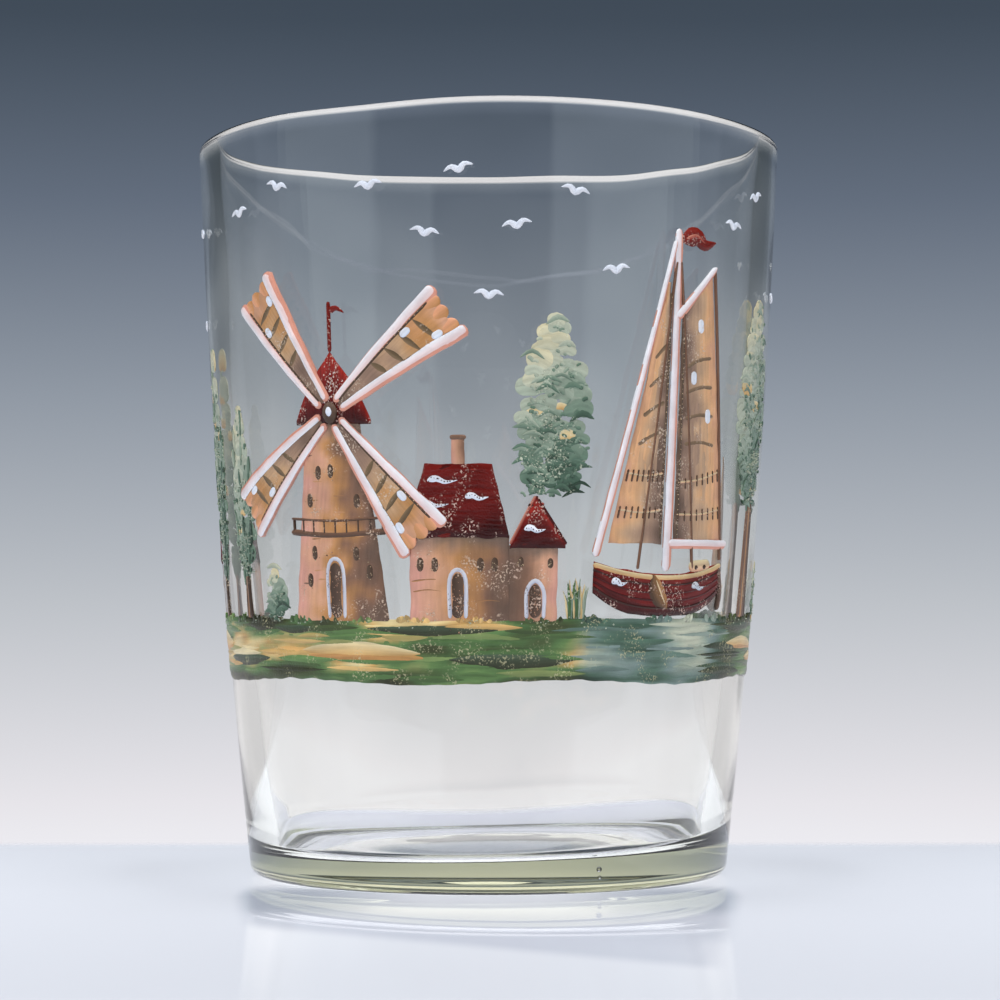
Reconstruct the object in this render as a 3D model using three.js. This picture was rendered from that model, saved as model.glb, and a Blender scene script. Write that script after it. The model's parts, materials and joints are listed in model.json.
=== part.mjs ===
// Enamelled glass tumbler: one blown glass with a river landscape painted round its wall.
// Millimetres, +Z up. The glass stands on Z = 0 and its axis is the Z axis.
// The picture is laid out flat first. Its points are [along, height]: along runs to the viewer's
// right from the middle of the picture, which faces -Y, and height is measured from the table.

import * as THREE from 'three';

// The glass
const GLASS_HEIGHT = 114.8;
const BASE_OUTER_RADIUS = 37.2;
const RIM_OUTER_RADIUS = 45.35;
const WALL_BELLY = 0.96; // how far the middle of the wall swells past a straight cone
const WALL_AT_BASE = 3.7;
const WALL_AT_RIM = 3.2;
const RIM_CORNER_RADIUS = 1.15; // the rim is nearly flat, with a polished round on each side
const FLOOR_THICKNESS = 4.8;
const FLOOR_DOME = 0.6;
const HEEL_RADIUS = 2;
const INNER_FILLET_RADIUS = 4.5;
const PONTIL_RADIUS = 14;
const PONTIL_DEPTH = 1;

// The enamel: how thick one coat is, and the thin gap under it and between two patches
const ENAMEL_THICKNESS = 0.25;
const ENAMEL_CLEARANCE = 0.1;
const PATCH_SPACING = 0.3;
const PICTURE_RADIUS = 43; // the wall's radius at the middle of the picture
const STROKE_TIP = 0.5; // the narrowest that a brush mark ends
const LOBE_DEPTH = 0.12; // how deep the edge of the foliage is lobed, as a share of its width
const CROWN_ROUNDNESS = 0.65;

// The river bank that all the motifs stand on
const BANK_BOTTOM = 30.8;
const BANK_TOP = 40;
const BANK_WAVE = 0.6;
const BANK_MARGIN = 6; // how far the bank runs on past the first and the last motif

// The motifs from left to right. Each starts a gap to the right of the one before.
const PICTURE_START = -77;
const HAMLET_WIDTH = 10;
const HAMLET_WALL_HEIGHT = 7.7;
const HAMLET_ROOF_HEIGHT = 6.2;
const FAR_POPLAR_GAP = 6;
const FAR_POPLAR_WIDTH = 8;
const FAR_POPLAR_HEIGHT = 41;
const NEAR_POPLAR_GAP = 4;
const NEAR_POPLAR_WIDTH = 7;
const NEAR_POPLAR_HEIGHT = 32;
const POPLAR_TRUNK_HEIGHT = 5;
const POPLAR_TRUNK_WIDTH = 1.6;
const MILL_BUSH_GAP = 1.6;
const MILL_BUSH_WIDTH = 6;
const MILL_BUSH_HEIGHT = 7.5;
const MILL_GAP = 2;
const MILL_BASE_WIDTH = 17;
const MILL_TOP_WIDTH = 9.5;
const MILL_TOWER_HEIGHT = 27.5;
const MILL_CAP_WIDTH = 13;
const MILL_CAP_HEIGHT = 10.5;
const MILL_VANE_HEIGHT = 7;
const MILL_HUB_RADIUS = 1.7;
const SAIL_COUNT = 4;
const SAIL_LENGTH = 23;
const SAIL_TIP_WIDTH = 7.4;
const SAIL_ROOT_WIDTH = 1.5;
const SAIL_TILT = 38; // degrees that the first sail is turned up from level
const FARMHOUSE_GAP = 3.5;
const FARMHOUSE_WIDTH = 15;
const FARMHOUSE_WALL_HEIGHT = 11.2;
const FARMHOUSE_ROOF_HEIGHT = 10.4;
const FARMHOUSE_RIDGE_INSET = 2.6;
const CHIMNEY_WIDTH = 2;
const CHIMNEY_HEIGHT = 3.8;
const BARN_WIDTH = 7;
const BARN_WALL_HEIGHT = 9.7;
const BARN_GABLE_HEIGHT = 7.4;
const EAVES_OVERHANG = 1;
const LIME_TREE_WIDTH = 12;
const LIME_TREE_HEIGHT = 44;
const REEDS_GAP = 1.4;
const REEDS_WIDTH = 3;
const REEDS_HEIGHT = 6;
const BARGE_GAP = 1.2;
const BARGE_LENGTH = 26;
const BARGE_DEPTH = 6.2;
const BARGE_SHEER = 1.8;
const BARGE_BILGE = 3.4;
const MAST_WIDTH = 1.7;
const MAST_HEIGHT = 50;
const BOOM_HEIGHT = 4.4; // above the deck
const MAINSAIL_FOOT = 11.4;
const MAINSAIL_HEAD = 6;
const MAINSAIL_LUFF = 33;
const MAINSAIL_PEAK = 7; // how much higher the head's outer corner is
const FORESAIL_FOOT = 9.6;
const FORESAIL_LUFF = 38;
const SPAR_WIDTH = 1.4;
const PENNANT_LENGTH = 6.5;
const PENNANT_WIDTH = 3.2;
const OAK_GAP = 3;
const OAK_WIDTH = 14;
const OAK_HEIGHT = 49;
const OAK_TRUNK_HEIGHT = 15;
const OAK_TRUNK_WIDTH = 2.4;
const HEDGE_GAP = 3;
const HEDGE_WIDTH = 7;
const HEDGE_HEIGHT = 9.5;
const SKIFF_GAP = 3;
const SKIFF_LENGTH = 11;
const SKIFF_DEPTH = 3.6;
const SKIFF_SAIL_WIDTH = 7;
const SKIFF_SAIL_HEIGHT = 20;

// The birds: wing span, thickness at the body, and places as [along, depth below the rim, turn]
const BIRD_SPAN = 4.2;
const BIRD_THICKNESS = 0.8;
const BIRD_WING_RISE = 1.1;
const BIRDS = [
  [-66, 30, 10], [-61.5, 16, -8], [-42, 15, 10], [-33, 12, -14],
  [-17, 13, 6], [-9, 20, -10], [-4, 11, 14], [0, 29, -4],
  [4, 19, 10], [12, 14, -12], [18.5, 25, 8], [41, 17, -6],
  [48, 12, 14], [62, 26, -10], [72, 20, 6],
];

// How finely curves are cut into facets
const ROUND_STEPS = 64;
const WALL_STEPS = 12;
const ARC_STEPS = 6;
const CROWN_STEPS = 10;
const LONGEST_FACET = 3; // round the wall
const TALLEST_FACET = 12; // up the wall

const COLOURS = {
  glass: 0xd9ddd0,
  bank: 0x7f9468,
  stone: 0xa98a72,
  plaster: 0xe0b3a4,
  ochre: 0xc9996c,
  roof: 0x7c241d,
  spar: 0xeed9d8,
  canvas: 0x92765f,
  timber: 0x5b4136,
  pale_leaf: 0xa9bfae,
  leaf: 0x6a9a88,
  dark_leaf: 0x3f6a58,
  bird: 0xe4e8ee,
};

const tumbler = new THREE.Group();

// The wall

const wallBottom = HEEL_RADIUS;
const wallTop = GLASS_HEIGHT - RIM_CORNER_RADIUS;

function shareUpWall(height) {
  return (height - wallBottom) / (wallTop - wallBottom);
}

function outerRadius(height) {
  const share = shareUpWall(height);
  const cone = BASE_OUTER_RADIUS + (RIM_OUTER_RADIUS - BASE_OUTER_RADIUS) * share;
  return cone + WALL_BELLY * 4 * share * (1 - share);
}

function innerRadius(height) {
  const wall = WALL_AT_BASE + (WALL_AT_RIM - WALL_AT_BASE) * shareUpWall(height);
  return outerRadius(height) - wall;
}

// Points on a round corner, from one angle to another in degrees
function arc(centreX, centreY, radius, startAngle, endAngle, steps) {
  const points = [];
  for (let step = 0; step <= steps; step += 1) {
    const angle = THREE.MathUtils.degToRad(startAngle + ((endAngle - startAngle) * step) / steps);
    points.push([centreX + radius * Math.cos(angle), centreY + radius * Math.sin(angle)]);
  }
  return points;
}

function glassProfile() {
  const pontil = [];
  for (let step = 0; step <= ARC_STEPS / 2; step += 1) {
    const share = step / (ARC_STEPS / 2);
    pontil.push([PONTIL_RADIUS * share, PONTIL_DEPTH * (1 - share * share)]);
  }
  const heelCentre = BASE_OUTER_RADIUS - HEEL_RADIUS;
  const heel = arc(heelCentre, HEEL_RADIUS, HEEL_RADIUS, -90, 0, ARC_STEPS);
  const outside = [];
  for (let step = 1; step < WALL_STEPS; step += 1) {
    const height = wallBottom + ((wallTop - wallBottom) * step) / WALL_STEPS;
    outside.push([outerRadius(height), height]);
  }
  const rimCorner = (centre, from, to) => (
    arc(centre, wallTop, RIM_CORNER_RADIUS, from, to, ARC_STEPS / 2)
  );
  const rim = [
    ...rimCorner(RIM_OUTER_RADIUS - RIM_CORNER_RADIUS, 0, 90),
    ...rimCorner(RIM_OUTER_RADIUS - WALL_AT_RIM + RIM_CORNER_RADIUS, 90, 180),
  ];
  const filletTop = FLOOR_THICKNESS + INNER_FILLET_RADIUS;
  const inside = [];
  for (let step = 1; step < WALL_STEPS; step += 1) {
    const height = wallTop + ((filletTop - wallTop) * step) / WALL_STEPS;
    inside.push([innerRadius(height), height]);
  }
  const floorRadius = innerRadius(filletTop) - INNER_FILLET_RADIUS;
  const fillet = arc(floorRadius, filletTop, INNER_FILLET_RADIUS, 0, -90, ARC_STEPS);
  const floor = [];
  for (let step = 1; step <= ARC_STEPS / 2; step += 1) {
    const share = 1 - step / (ARC_STEPS / 2);
    floor.push([floorRadius * share, FLOOR_THICKNESS + FLOOR_DOME * (1 - share * share)]);
  }
  return [...pontil, ...heel, ...outside, ...rim, ...inside, ...fillet, ...floor];
}

function makeGlass() {
  const profile = glassProfile().map(([radius, height]) => new THREE.Vector2(radius, height));
  const geometry = new THREE.LatheGeometry(profile, ROUND_STEPS);
  geometry.rotateX(Math.PI / 2);
  const material = new THREE.MeshStandardMaterial({
    color: COLOURS.glass, roughness: 0.03, metalness: 0, transparent: true, opacity: 0.35,
  });
  const glass = new THREE.Mesh(geometry, material);
  glass.name = 'glass_body';
  tumbler.add(glass);
}

// Enamel patches

function pointOnEdge(edge, share) {
  const place = share * (edge.length - 1);
  const index = Math.min(Math.floor(place), edge.length - 2);
  const part = place - index;
  const [from, to] = [edge[index], edge[index + 1]];
  return [from[0] + (to[0] - from[0]) * part, from[1] + (to[1] - from[1]) * part];
}

function outlineArea(outline) {
  let twice = 0;
  outline.forEach(([x, y], index) => {
    const [nextX, nextY] = outline[(index + 1) % outline.length];
    twice += x * nextY - nextX * y;
  });
  return twice / 2;
}

function facetsBetween(pairs) {
  const counts = pairs.map(([from, to]) => Math.max(
    Math.abs(to[0] - from[0]) / LONGEST_FACET,
    Math.abs(to[1] - from[1]) / TALLEST_FACET,
  ));
  return Math.max(1, Math.ceil(Math.max(...counts)));
}

// One patch of enamel fills the strip between two edges that have as many points each. It is a
// thin slab bent round the wall. Coat 0 lies on the glass and coat 1 is painted over coat 0.
function addPatch(name, firstEdge, secondEdge, colour, coat = 0) {
  const anticlockwise = outlineArea([...firstEdge, ...[...secondEdge].reverse()]) > 0;
  const [lower, upper] = anticlockwise ? [firstEdge, secondEdge] : [secondEdge, firstEdge];
  const lengthPairs = [];
  for (let index = 1; index < lower.length; index += 1) {
    lengthPairs.push([lower[index - 1], lower[index]], [upper[index - 1], upper[index]]);
  }
  const lengthFacets = facetsBetween(lengthPairs) * (lower.length - 1);
  const widthFacets = facetsBetween(lower.map((point, index) => [point, upper[index]]));
  const geometry = new THREE.BoxGeometry(1, 1, 1, lengthFacets, widthFacets, 1);
  const back = ENAMEL_CLEARANCE + coat * (ENAMEL_THICKNESS + ENAMEL_CLEARANCE);
  const position = geometry.getAttribute('position');
  for (let index = 0; index < position.count; index += 1) {
    const from = pointOnEdge(lower, position.getX(index) + 0.5);
    const to = pointOnEdge(upper, position.getX(index) + 0.5);
    const across = position.getY(index) + 0.5;
    const height = from[1] + (to[1] - from[1]) * across;
    const angle = (from[0] + (to[0] - from[0]) * across) / PICTURE_RADIUS;
    const lift = back + ENAMEL_THICKNESS * (position.getZ(index) + 0.5);
    const radius = outerRadius(height) + lift;
    position.setXYZ(index, radius * Math.sin(angle), -radius * Math.cos(angle), height);
  }
  const material = new THREE.MeshStandardMaterial({ color: colour, roughness: 0.35, metalness: 0 });
  const patch = new THREE.Mesh(geometry, material);
  patch.name = name;
  tumbler.add(patch);
}

// A straight brush stroke from one point to another
function addStroke(name, from, to, startWidth, endWidth, colour, coat = 0) {
  const length = Math.hypot(to[0] - from[0], to[1] - from[1]);
  const side = [-(to[1] - from[1]) / length, (to[0] - from[0]) / length];
  const offset = (point, width) => [point[0] + side[0] * width, point[1] + side[1] * width];
  const firstEdge = [offset(from, -startWidth / 2), offset(to, -endWidth / 2)];
  const secondEdge = [offset(from, startWidth / 2), offset(to, endWidth / 2)];
  addPatch(name, firstEdge, secondEdge, colour, coat);
}

// An upright wall or block, as wide at its top as stated
function addBlock(name, centre, bottom, height, bottomWidth, topWidth, colour) {
  const top = bottom + height;
  const leftEdge = [[centre - bottomWidth / 2, bottom], [centre - topWidth / 2, top]];
  const rightEdge = [[centre + bottomWidth / 2, bottom], [centre + topWidth / 2, top]];
  addPatch(name, leftEdge, rightEdge, colour);
}

// A tall crown of leaves: widest at a share of its height, with a lobed edge
function addCrown(name, centre, bottom, height, width, fullest, lobes, colour) {
  const leftEdge = [];
  const rightEdge = [];
  const power = Math.log(0.5) / Math.log(fullest);
  for (let step = 0; step <= CROWN_STEPS; step += 1) {
    const share = step / CROWN_STEPS;
    const swell = Math.max(0, Math.sin(Math.PI * share ** power)) ** CROWN_ROUNDNESS;
    const lobe = 1 - LOBE_DEPTH * Math.cos(2 * Math.PI * lobes * share);
    const half = Math.max(STROKE_TIP, width * swell * lobe) / 2;
    leftEdge.push([centre - half, bottom + height * share]);
    rightEdge.push([centre + half, bottom + height * share]);
  }
  addPatch(name, leftEdge, rightEdge, colour);
}

// A mound of leaves with a level foot, such as a bush or the top of a tree behind a roof
function addMound(name, centre, bottom, height, width, lobes, colour) {
  const lowerEdge = [];
  const upperEdge = [];
  for (let step = 0; step <= CROWN_STEPS; step += 1) {
    const share = (2 * step) / CROWN_STEPS - 1;
    const dome = Math.sqrt(Math.max(0, 1 - share * share));
    const lobe = 1 - LOBE_DEPTH * (1 - Math.cos(2 * Math.PI * lobes * share)) / 2;
    const rise = Math.max(STROKE_TIP, height * dome * lobe);
    const along = centre + (width / 2) * share;
    lowerEdge.push([along, bottom]);
    upperEdge.push([along, bottom + rise]);
  }
  addPatch(name, lowerEdge, upperEdge, colour);
}

// Where each motif stands
const ground = BANK_TOP + PATCH_SPACING;
const hamletCentre = PICTURE_START + HAMLET_WIDTH / 2;
const farPoplarCentre = hamletCentre + HAMLET_WIDTH / 2 + FAR_POPLAR_GAP + FAR_POPLAR_WIDTH / 2;
const nearPoplarCentre = farPoplarCentre + FAR_POPLAR_WIDTH / 2 + NEAR_POPLAR_GAP + NEAR_POPLAR_WIDTH / 2;
const millBushCentre = nearPoplarCentre + NEAR_POPLAR_WIDTH / 2 + MILL_BUSH_GAP + MILL_BUSH_WIDTH / 2;
const millCentre = millBushCentre + MILL_BUSH_WIDTH / 2 + MILL_GAP + MILL_BASE_WIDTH / 2;
const farmhouseCentre = millCentre + MILL_BASE_WIDTH / 2 + FARMHOUSE_GAP + FARMHOUSE_WIDTH / 2;
const farmhouseRight = farmhouseCentre + FARMHOUSE_WIDTH / 2;
const barnCentre = farmhouseRight + PATCH_SPACING + BARN_WIDTH / 2;
const barnRight = barnCentre + BARN_WIDTH / 2;
const reedsCentre = barnRight + REEDS_GAP + REEDS_WIDTH / 2;
const bargeCentre = reedsCentre + REEDS_WIDTH / 2 + BARGE_GAP + BARGE_LENGTH / 2;
const oakCentre = bargeCentre + BARGE_LENGTH / 2 + OAK_GAP + OAK_WIDTH / 2;
const hedgeCentre = oakCentre + OAK_WIDTH / 2 + HEDGE_GAP + HEDGE_WIDTH / 2;
const skiffCentre = hedgeCentre + HEDGE_WIDTH / 2 + SKIFF_GAP + SKIFF_LENGTH / 2;

function makeBank() {
  const start = PICTURE_START - BANK_MARGIN;
  const end = skiffCentre + SKIFF_LENGTH / 2 + BANK_MARGIN;
  const steps = Math.ceil((end - start) / LONGEST_FACET);
  const lowerEdge = [];
  const upperEdge = [];
  for (let step = 0; step <= steps; step += 1) {
    const along = start + ((end - start) * step) / steps;
    const taper = Math.min(1, (0.6 * BANK_MARGIN + Math.min(along - start, end - along)) / BANK_MARGIN);
    const bottom = BANK_TOP - (BANK_TOP - BANK_BOTTOM) * taper;
    lowerEdge.push([along, bottom + BANK_WAVE * Math.sin(along / 5)]);
    upperEdge.push([along, BANK_TOP]);
  }
  addPatch('river_bank', lowerEdge, upperEdge, COLOURS.bank);
}

function makeHamlet() {
  addBlock('hamlet_wall', hamletCentre, ground, HAMLET_WALL_HEIGHT, HAMLET_WIDTH, HAMLET_WIDTH,
    COLOURS.plaster);
  const eaves = ground + HAMLET_WALL_HEIGHT + PATCH_SPACING;
  addBlock('hamlet_roof', hamletCentre, eaves, HAMLET_ROOF_HEIGHT, HAMLET_WIDTH + EAVES_OVERHANG,
    HAMLET_WIDTH / 2, COLOURS.roof);
}

function makePoplar(name, centre, width, height, colour) {
  addBlock(`${name}_trunk`, centre, ground, POPLAR_TRUNK_HEIGHT, POPLAR_TRUNK_WIDTH,
    POPLAR_TRUNK_WIDTH, COLOURS.timber);
  const crownBottom = ground + POPLAR_TRUNK_HEIGHT + PATCH_SPACING;
  const crownHeight = height - POPLAR_TRUNK_HEIGHT - PATCH_SPACING;
  addCrown(`${name}_crown`, centre, crownBottom, crownHeight, width, 0.36, 3, colour);
}

function makeMill() {
  addBlock('mill_tower', millCentre, ground, MILL_TOWER_HEIGHT, MILL_BASE_WIDTH, MILL_TOP_WIDTH,
    COLOURS.stone);
  const capBottom = ground + MILL_TOWER_HEIGHT + PATCH_SPACING;
  const lowerEdge = [];
  const upperEdge = [];
  for (let step = 0; step <= CROWN_STEPS; step += 1) {
    const share = (2 * step) / CROWN_STEPS - 1;
    const along = millCentre + (MILL_CAP_WIDTH / 2) * share;
    const rise = Math.max(STROKE_TIP, MILL_CAP_HEIGHT * (1 - Math.abs(share)) ** 0.7);
    lowerEdge.push([along, capBottom]);
    upperEdge.push([along, capBottom + rise]);
  }
  addPatch('mill_cap', lowerEdge, upperEdge, COLOURS.roof);
  const vaneBottom = capBottom + MILL_CAP_HEIGHT + PATCH_SPACING;
  addBlock('mill_vane', millCentre, vaneBottom, MILL_VANE_HEIGHT, 1.6 * STROKE_TIP, STROKE_TIP,
    COLOURS.roof);
  const hub = [millCentre, capBottom + MILL_HUB_RADIUS];
  makeHub(hub);
  for (let sail = 0; sail < SAIL_COUNT; sail += 1) {
    const angle = THREE.MathUtils.degToRad(SAIL_TILT + (360 / SAIL_COUNT) * sail);
    const direction = [Math.cos(angle), Math.sin(angle)];
    const root = MILL_HUB_RADIUS + PATCH_SPACING;
    const from = [hub[0] + direction[0] * root, hub[1] + direction[1] * root];
    const to = [hub[0] + direction[0] * SAIL_LENGTH, hub[1] + direction[1] * SAIL_LENGTH];
    addStroke(`mill_sail_${sail + 1}`, from, to, SAIL_ROOT_WIDTH, SAIL_TIP_WIDTH, COLOURS.canvas, 1);
  }
}

function makeHub([along, height]) {
  const leftEdge = [];
  const rightEdge = [];
  for (let step = 0; step <= CROWN_STEPS; step += 1) {
    const angle = Math.PI * (step / CROWN_STEPS - 0.5);
    const half = Math.max(STROKE_TIP / 2, MILL_HUB_RADIUS * Math.cos(angle));
    const level = height + MILL_HUB_RADIUS * Math.sin(angle);
    leftEdge.push([along - half, level]);
    rightEdge.push([along + half, level]);
  }
  addPatch('mill_hub', leftEdge, rightEdge, COLOURS.spar, 1);
}

const farmhouseEaves = ground + FARMHOUSE_WALL_HEIGHT + PATCH_SPACING;
const farmhouseRidge = farmhouseEaves + FARMHOUSE_ROOF_HEIGHT;
const barnEaves = ground + BARN_WALL_HEIGHT + PATCH_SPACING;

function makeFarmhouse() {
  addBlock('farmhouse_wall', farmhouseCentre, ground, FARMHOUSE_WALL_HEIGHT, FARMHOUSE_WIDTH,
    FARMHOUSE_WIDTH, COLOURS.ochre);
  const left = farmhouseCentre - FARMHOUSE_WIDTH / 2;
  const lowerEdge = [[left - EAVES_OVERHANG, farmhouseEaves], [farmhouseRight, farmhouseEaves]];
  const upperEdge = [
    [left + FARMHOUSE_RIDGE_INSET, farmhouseRidge],
    [farmhouseRight - FARMHOUSE_RIDGE_INSET, farmhouseRidge],
  ];
  addPatch('farmhouse_roof', lowerEdge, upperEdge, COLOURS.roof);
  addBlock('farmhouse_chimney', farmhouseCentre, farmhouseRidge + PATCH_SPACING, CHIMNEY_HEIGHT,
    CHIMNEY_WIDTH, CHIMNEY_WIDTH, COLOURS.plaster);
}

function makeBarn() {
  addBlock('barn_wall', barnCentre, ground, BARN_WALL_HEIGHT, BARN_WIDTH, BARN_WIDTH,
    COLOURS.plaster);
  const left = farmhouseRight + PATCH_SPACING;
  const right = barnRight + EAVES_OVERHANG;
  const lowerEdge = [[left, barnEaves], [barnCentre, barnEaves], [right, barnEaves]];
  const upperEdge = [
    [left, barnEaves + STROKE_TIP],
    [barnCentre, barnEaves + BARN_GABLE_HEIGHT],
    [right, barnEaves + STROKE_TIP],
  ];
  addPatch('barn_roof', lowerEdge, upperEdge, COLOURS.roof);
}

// The lime tree stands behind the barn, so it starts above the roofs in front of it
function makeLimeTree() {
  const left = farmhouseRight + PATCH_SPACING;
  const gableTop = barnEaves + BARN_GABLE_HEIGHT + STROKE_TIP;
  const crownBottom = Math.max(gableTop, farmhouseEaves) + PATCH_SPACING;
  const crownHeight = ground + LIME_TREE_HEIGHT - crownBottom;
  addMound('lime_tree_crown', left + LIME_TREE_WIDTH / 2, crownBottom, crownHeight, LIME_TREE_WIDTH, 2,
    COLOURS.leaf);
}

// A hull with an upward sheer and a rounded bilge
function addHull(name, centre, length, depth, sheer, bilge, colour) {
  const lowerEdge = [];
  const upperEdge = [];
  for (let step = 0; step <= CROWN_STEPS; step += 1) {
    const share = (2 * step) / CROWN_STEPS - 1;
    const along = centre + (length / 2) * share;
    lowerEdge.push([along, ground + bilge * Math.abs(share) ** 3]);
    upperEdge.push([along, ground + depth + sheer * share * share]);
  }
  addPatch(name, lowerEdge, upperEdge, colour);
}

function makeBarge() {
  addHull('barge_hull', bargeCentre, BARGE_LENGTH, BARGE_DEPTH, BARGE_SHEER, BARGE_BILGE,
    COLOURS.roof);
  const deck = ground + BARGE_DEPTH;
  const mastBottom = deck + PATCH_SPACING;
  const mastTop = mastBottom + MAST_HEIGHT;
  const sailBottom = deck + BOOM_HEIGHT;
  addBlock('barge_mast', bargeCentre, mastBottom, MAST_HEIGHT, MAST_WIDTH, MAST_WIDTH * 0.8,
    COLOURS.spar);
  const luff = bargeCentre + MAST_WIDTH / 2 + PATCH_SPACING;
  const head = sailBottom + MAINSAIL_LUFF;
  const mainLuff = [[luff, sailBottom], [luff, head]];
  const mainLeech = [[luff + MAINSAIL_FOOT, sailBottom], [luff + MAINSAIL_HEAD, head + MAINSAIL_PEAK]];
  addPatch('barge_mainsail', mainLuff, mainLeech, COLOURS.canvas);
  const stay = bargeCentre - MAST_WIDTH / 2 - PATCH_SPACING;
  const foreTop = sailBottom + FORESAIL_LUFF;
  const foreInner = [[stay, sailBottom], [stay, foreTop]];
  const foreOuter = [[stay - FORESAIL_FOOT, sailBottom], [stay - STROKE_TIP, foreTop]];
  addPatch('barge_foresail', foreInner, foreOuter, COLOURS.canvas);
  const boomEnd = [mainLeech[0][0] + SPAR_WIDTH, sailBottom];
  addStroke('barge_boom', [bargeCentre, sailBottom], boomEnd, SPAR_WIDTH, SPAR_WIDTH, COLOURS.spar, 1);
  const gaffEnd = [mainLeech[1][0] + SPAR_WIDTH / 2, mainLeech[1][1] + SPAR_WIDTH / 2];
  addStroke('barge_gaff', [bargeCentre, head], gaffEnd, SPAR_WIDTH, STROKE_TIP, COLOURS.spar, 1);
  const bow = [bargeCentre - BARGE_LENGTH / 2, deck + BARGE_SHEER + SPAR_WIDTH / 2];
  addStroke('barge_forestay', bow, [bargeCentre - MAST_WIDTH / 2, mastTop - MAST_WIDTH], SPAR_WIDTH,
    STROKE_TIP, COLOURS.spar, 1);
  const flagMiddle = mastTop - PENNANT_WIDTH / 2;
  const flagLow = [[luff, flagMiddle - PENNANT_WIDTH / 2], [luff + PENNANT_LENGTH, flagMiddle]];
  const flagHigh = [
    [luff, flagMiddle + PENNANT_WIDTH / 2],
    [luff + PENNANT_LENGTH, flagMiddle + STROKE_TIP],
  ];
  addPatch('barge_pennant', flagLow, flagHigh, COLOURS.roof);
}

function makeOak() {
  addBlock('oak_trunk', oakCentre, ground, OAK_TRUNK_HEIGHT, OAK_TRUNK_WIDTH, OAK_TRUNK_WIDTH * 0.8,
    COLOURS.timber);
  const crownBottom = ground + OAK_TRUNK_HEIGHT + PATCH_SPACING;
  const crownHeight = OAK_HEIGHT - OAK_TRUNK_HEIGHT - PATCH_SPACING;
  addCrown('oak_crown', oakCentre, crownBottom, crownHeight, OAK_WIDTH, 0.42, 3, COLOURS.leaf);
}

function makeBushes() {
  addMound('mill_bush', millBushCentre, ground, MILL_BUSH_HEIGHT, MILL_BUSH_WIDTH, 2,
    COLOURS.dark_leaf);
  addMound('river_reeds', reedsCentre, ground, REEDS_HEIGHT, REEDS_WIDTH, 1, COLOURS.leaf);
  addMound('hedge', hedgeCentre, ground, HEDGE_HEIGHT, HEDGE_WIDTH, 2, COLOURS.dark_leaf);
}

function makeSkiff() {
  addHull('skiff_hull', skiffCentre, SKIFF_LENGTH, SKIFF_DEPTH, BARGE_SHEER / 2, SKIFF_DEPTH / 2,
    COLOURS.timber);
  const sailBottom = ground + SKIFF_DEPTH + PATCH_SPACING + BARGE_SHEER / 2;
  addBlock('skiff_sail', skiffCentre, sailBottom, SKIFF_SAIL_HEIGHT, SKIFF_SAIL_WIDTH, STROKE_TIP,
    COLOURS.canvas);
}

// A gull in flight: two raised wings that taper to their tips from a thicker body
function makeBird(number, [along, depth, turn]) {
  const angle = THREE.MathUtils.degToRad(turn);
  const height = GLASS_HEIGHT - depth;
  const lowerEdge = [];
  const upperEdge = [];
  for (let step = -2; step <= 2; step += 1) {
    const share = step / 2;
    const x = (BIRD_SPAN / 2) * share;
    const y = BIRD_WING_RISE * Math.sqrt(Math.abs(share)) * (1.3 - 0.7 * Math.abs(share));
    const half = Math.max(STROKE_TIP, BIRD_THICKNESS * (1 - Math.abs(share) / 2)) / 2;
    const level = along + x * Math.cos(angle) - y * Math.sin(angle);
    const centre = height + x * Math.sin(angle) + y * Math.cos(angle);
    lowerEdge.push([level, centre - half]);
    upperEdge.push([level, centre + half]);
  }
  addPatch(`bird_${number}`, lowerEdge, upperEdge, COLOURS.bird);
}

makeGlass();
makeBank();
makeHamlet();
makePoplar('far_poplar', farPoplarCentre, FAR_POPLAR_WIDTH, FAR_POPLAR_HEIGHT, COLOURS.leaf);
makePoplar('near_poplar', nearPoplarCentre, NEAR_POPLAR_WIDTH, NEAR_POPLAR_HEIGHT,
  COLOURS.pale_leaf);
makeMill();
makeFarmhouse();
makeBarn();
makeLimeTree();
makeBarge();
makeOak();
makeBushes();
makeSkiff();
BIRDS.forEach((place, index) => makeBird(index + 1, place));

export default tumbler;
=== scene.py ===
# %% [markdown]
# An enamelled glass tumbler. The solid glass and every painted patch come from the CAD frame, which
# holds their real size and place. This lesson dresses them: the glass gets a fine turned surface and
# a real glass shader, and each flat patch of enamel becomes raised brush work that follows the wall.

# %% Load the frame
import json
import math
import random

import bpy
import numpy as np
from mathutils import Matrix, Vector, noise


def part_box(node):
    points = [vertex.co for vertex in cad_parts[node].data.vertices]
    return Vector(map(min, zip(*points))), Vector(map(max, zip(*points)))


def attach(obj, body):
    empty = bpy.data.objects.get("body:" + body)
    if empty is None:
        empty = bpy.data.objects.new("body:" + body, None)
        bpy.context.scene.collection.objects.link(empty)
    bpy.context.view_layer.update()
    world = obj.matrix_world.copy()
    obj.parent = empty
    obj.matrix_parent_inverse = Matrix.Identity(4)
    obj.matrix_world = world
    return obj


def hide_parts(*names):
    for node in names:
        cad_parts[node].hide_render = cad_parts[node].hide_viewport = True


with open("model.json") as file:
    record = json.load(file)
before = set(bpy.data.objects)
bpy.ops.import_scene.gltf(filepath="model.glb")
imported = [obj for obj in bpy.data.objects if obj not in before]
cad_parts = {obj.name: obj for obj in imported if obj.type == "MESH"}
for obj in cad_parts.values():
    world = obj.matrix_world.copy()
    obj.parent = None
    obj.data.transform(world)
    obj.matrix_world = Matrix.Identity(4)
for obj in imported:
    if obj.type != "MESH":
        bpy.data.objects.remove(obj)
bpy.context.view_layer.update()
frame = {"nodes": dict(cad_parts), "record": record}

MM = 0.001

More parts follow.
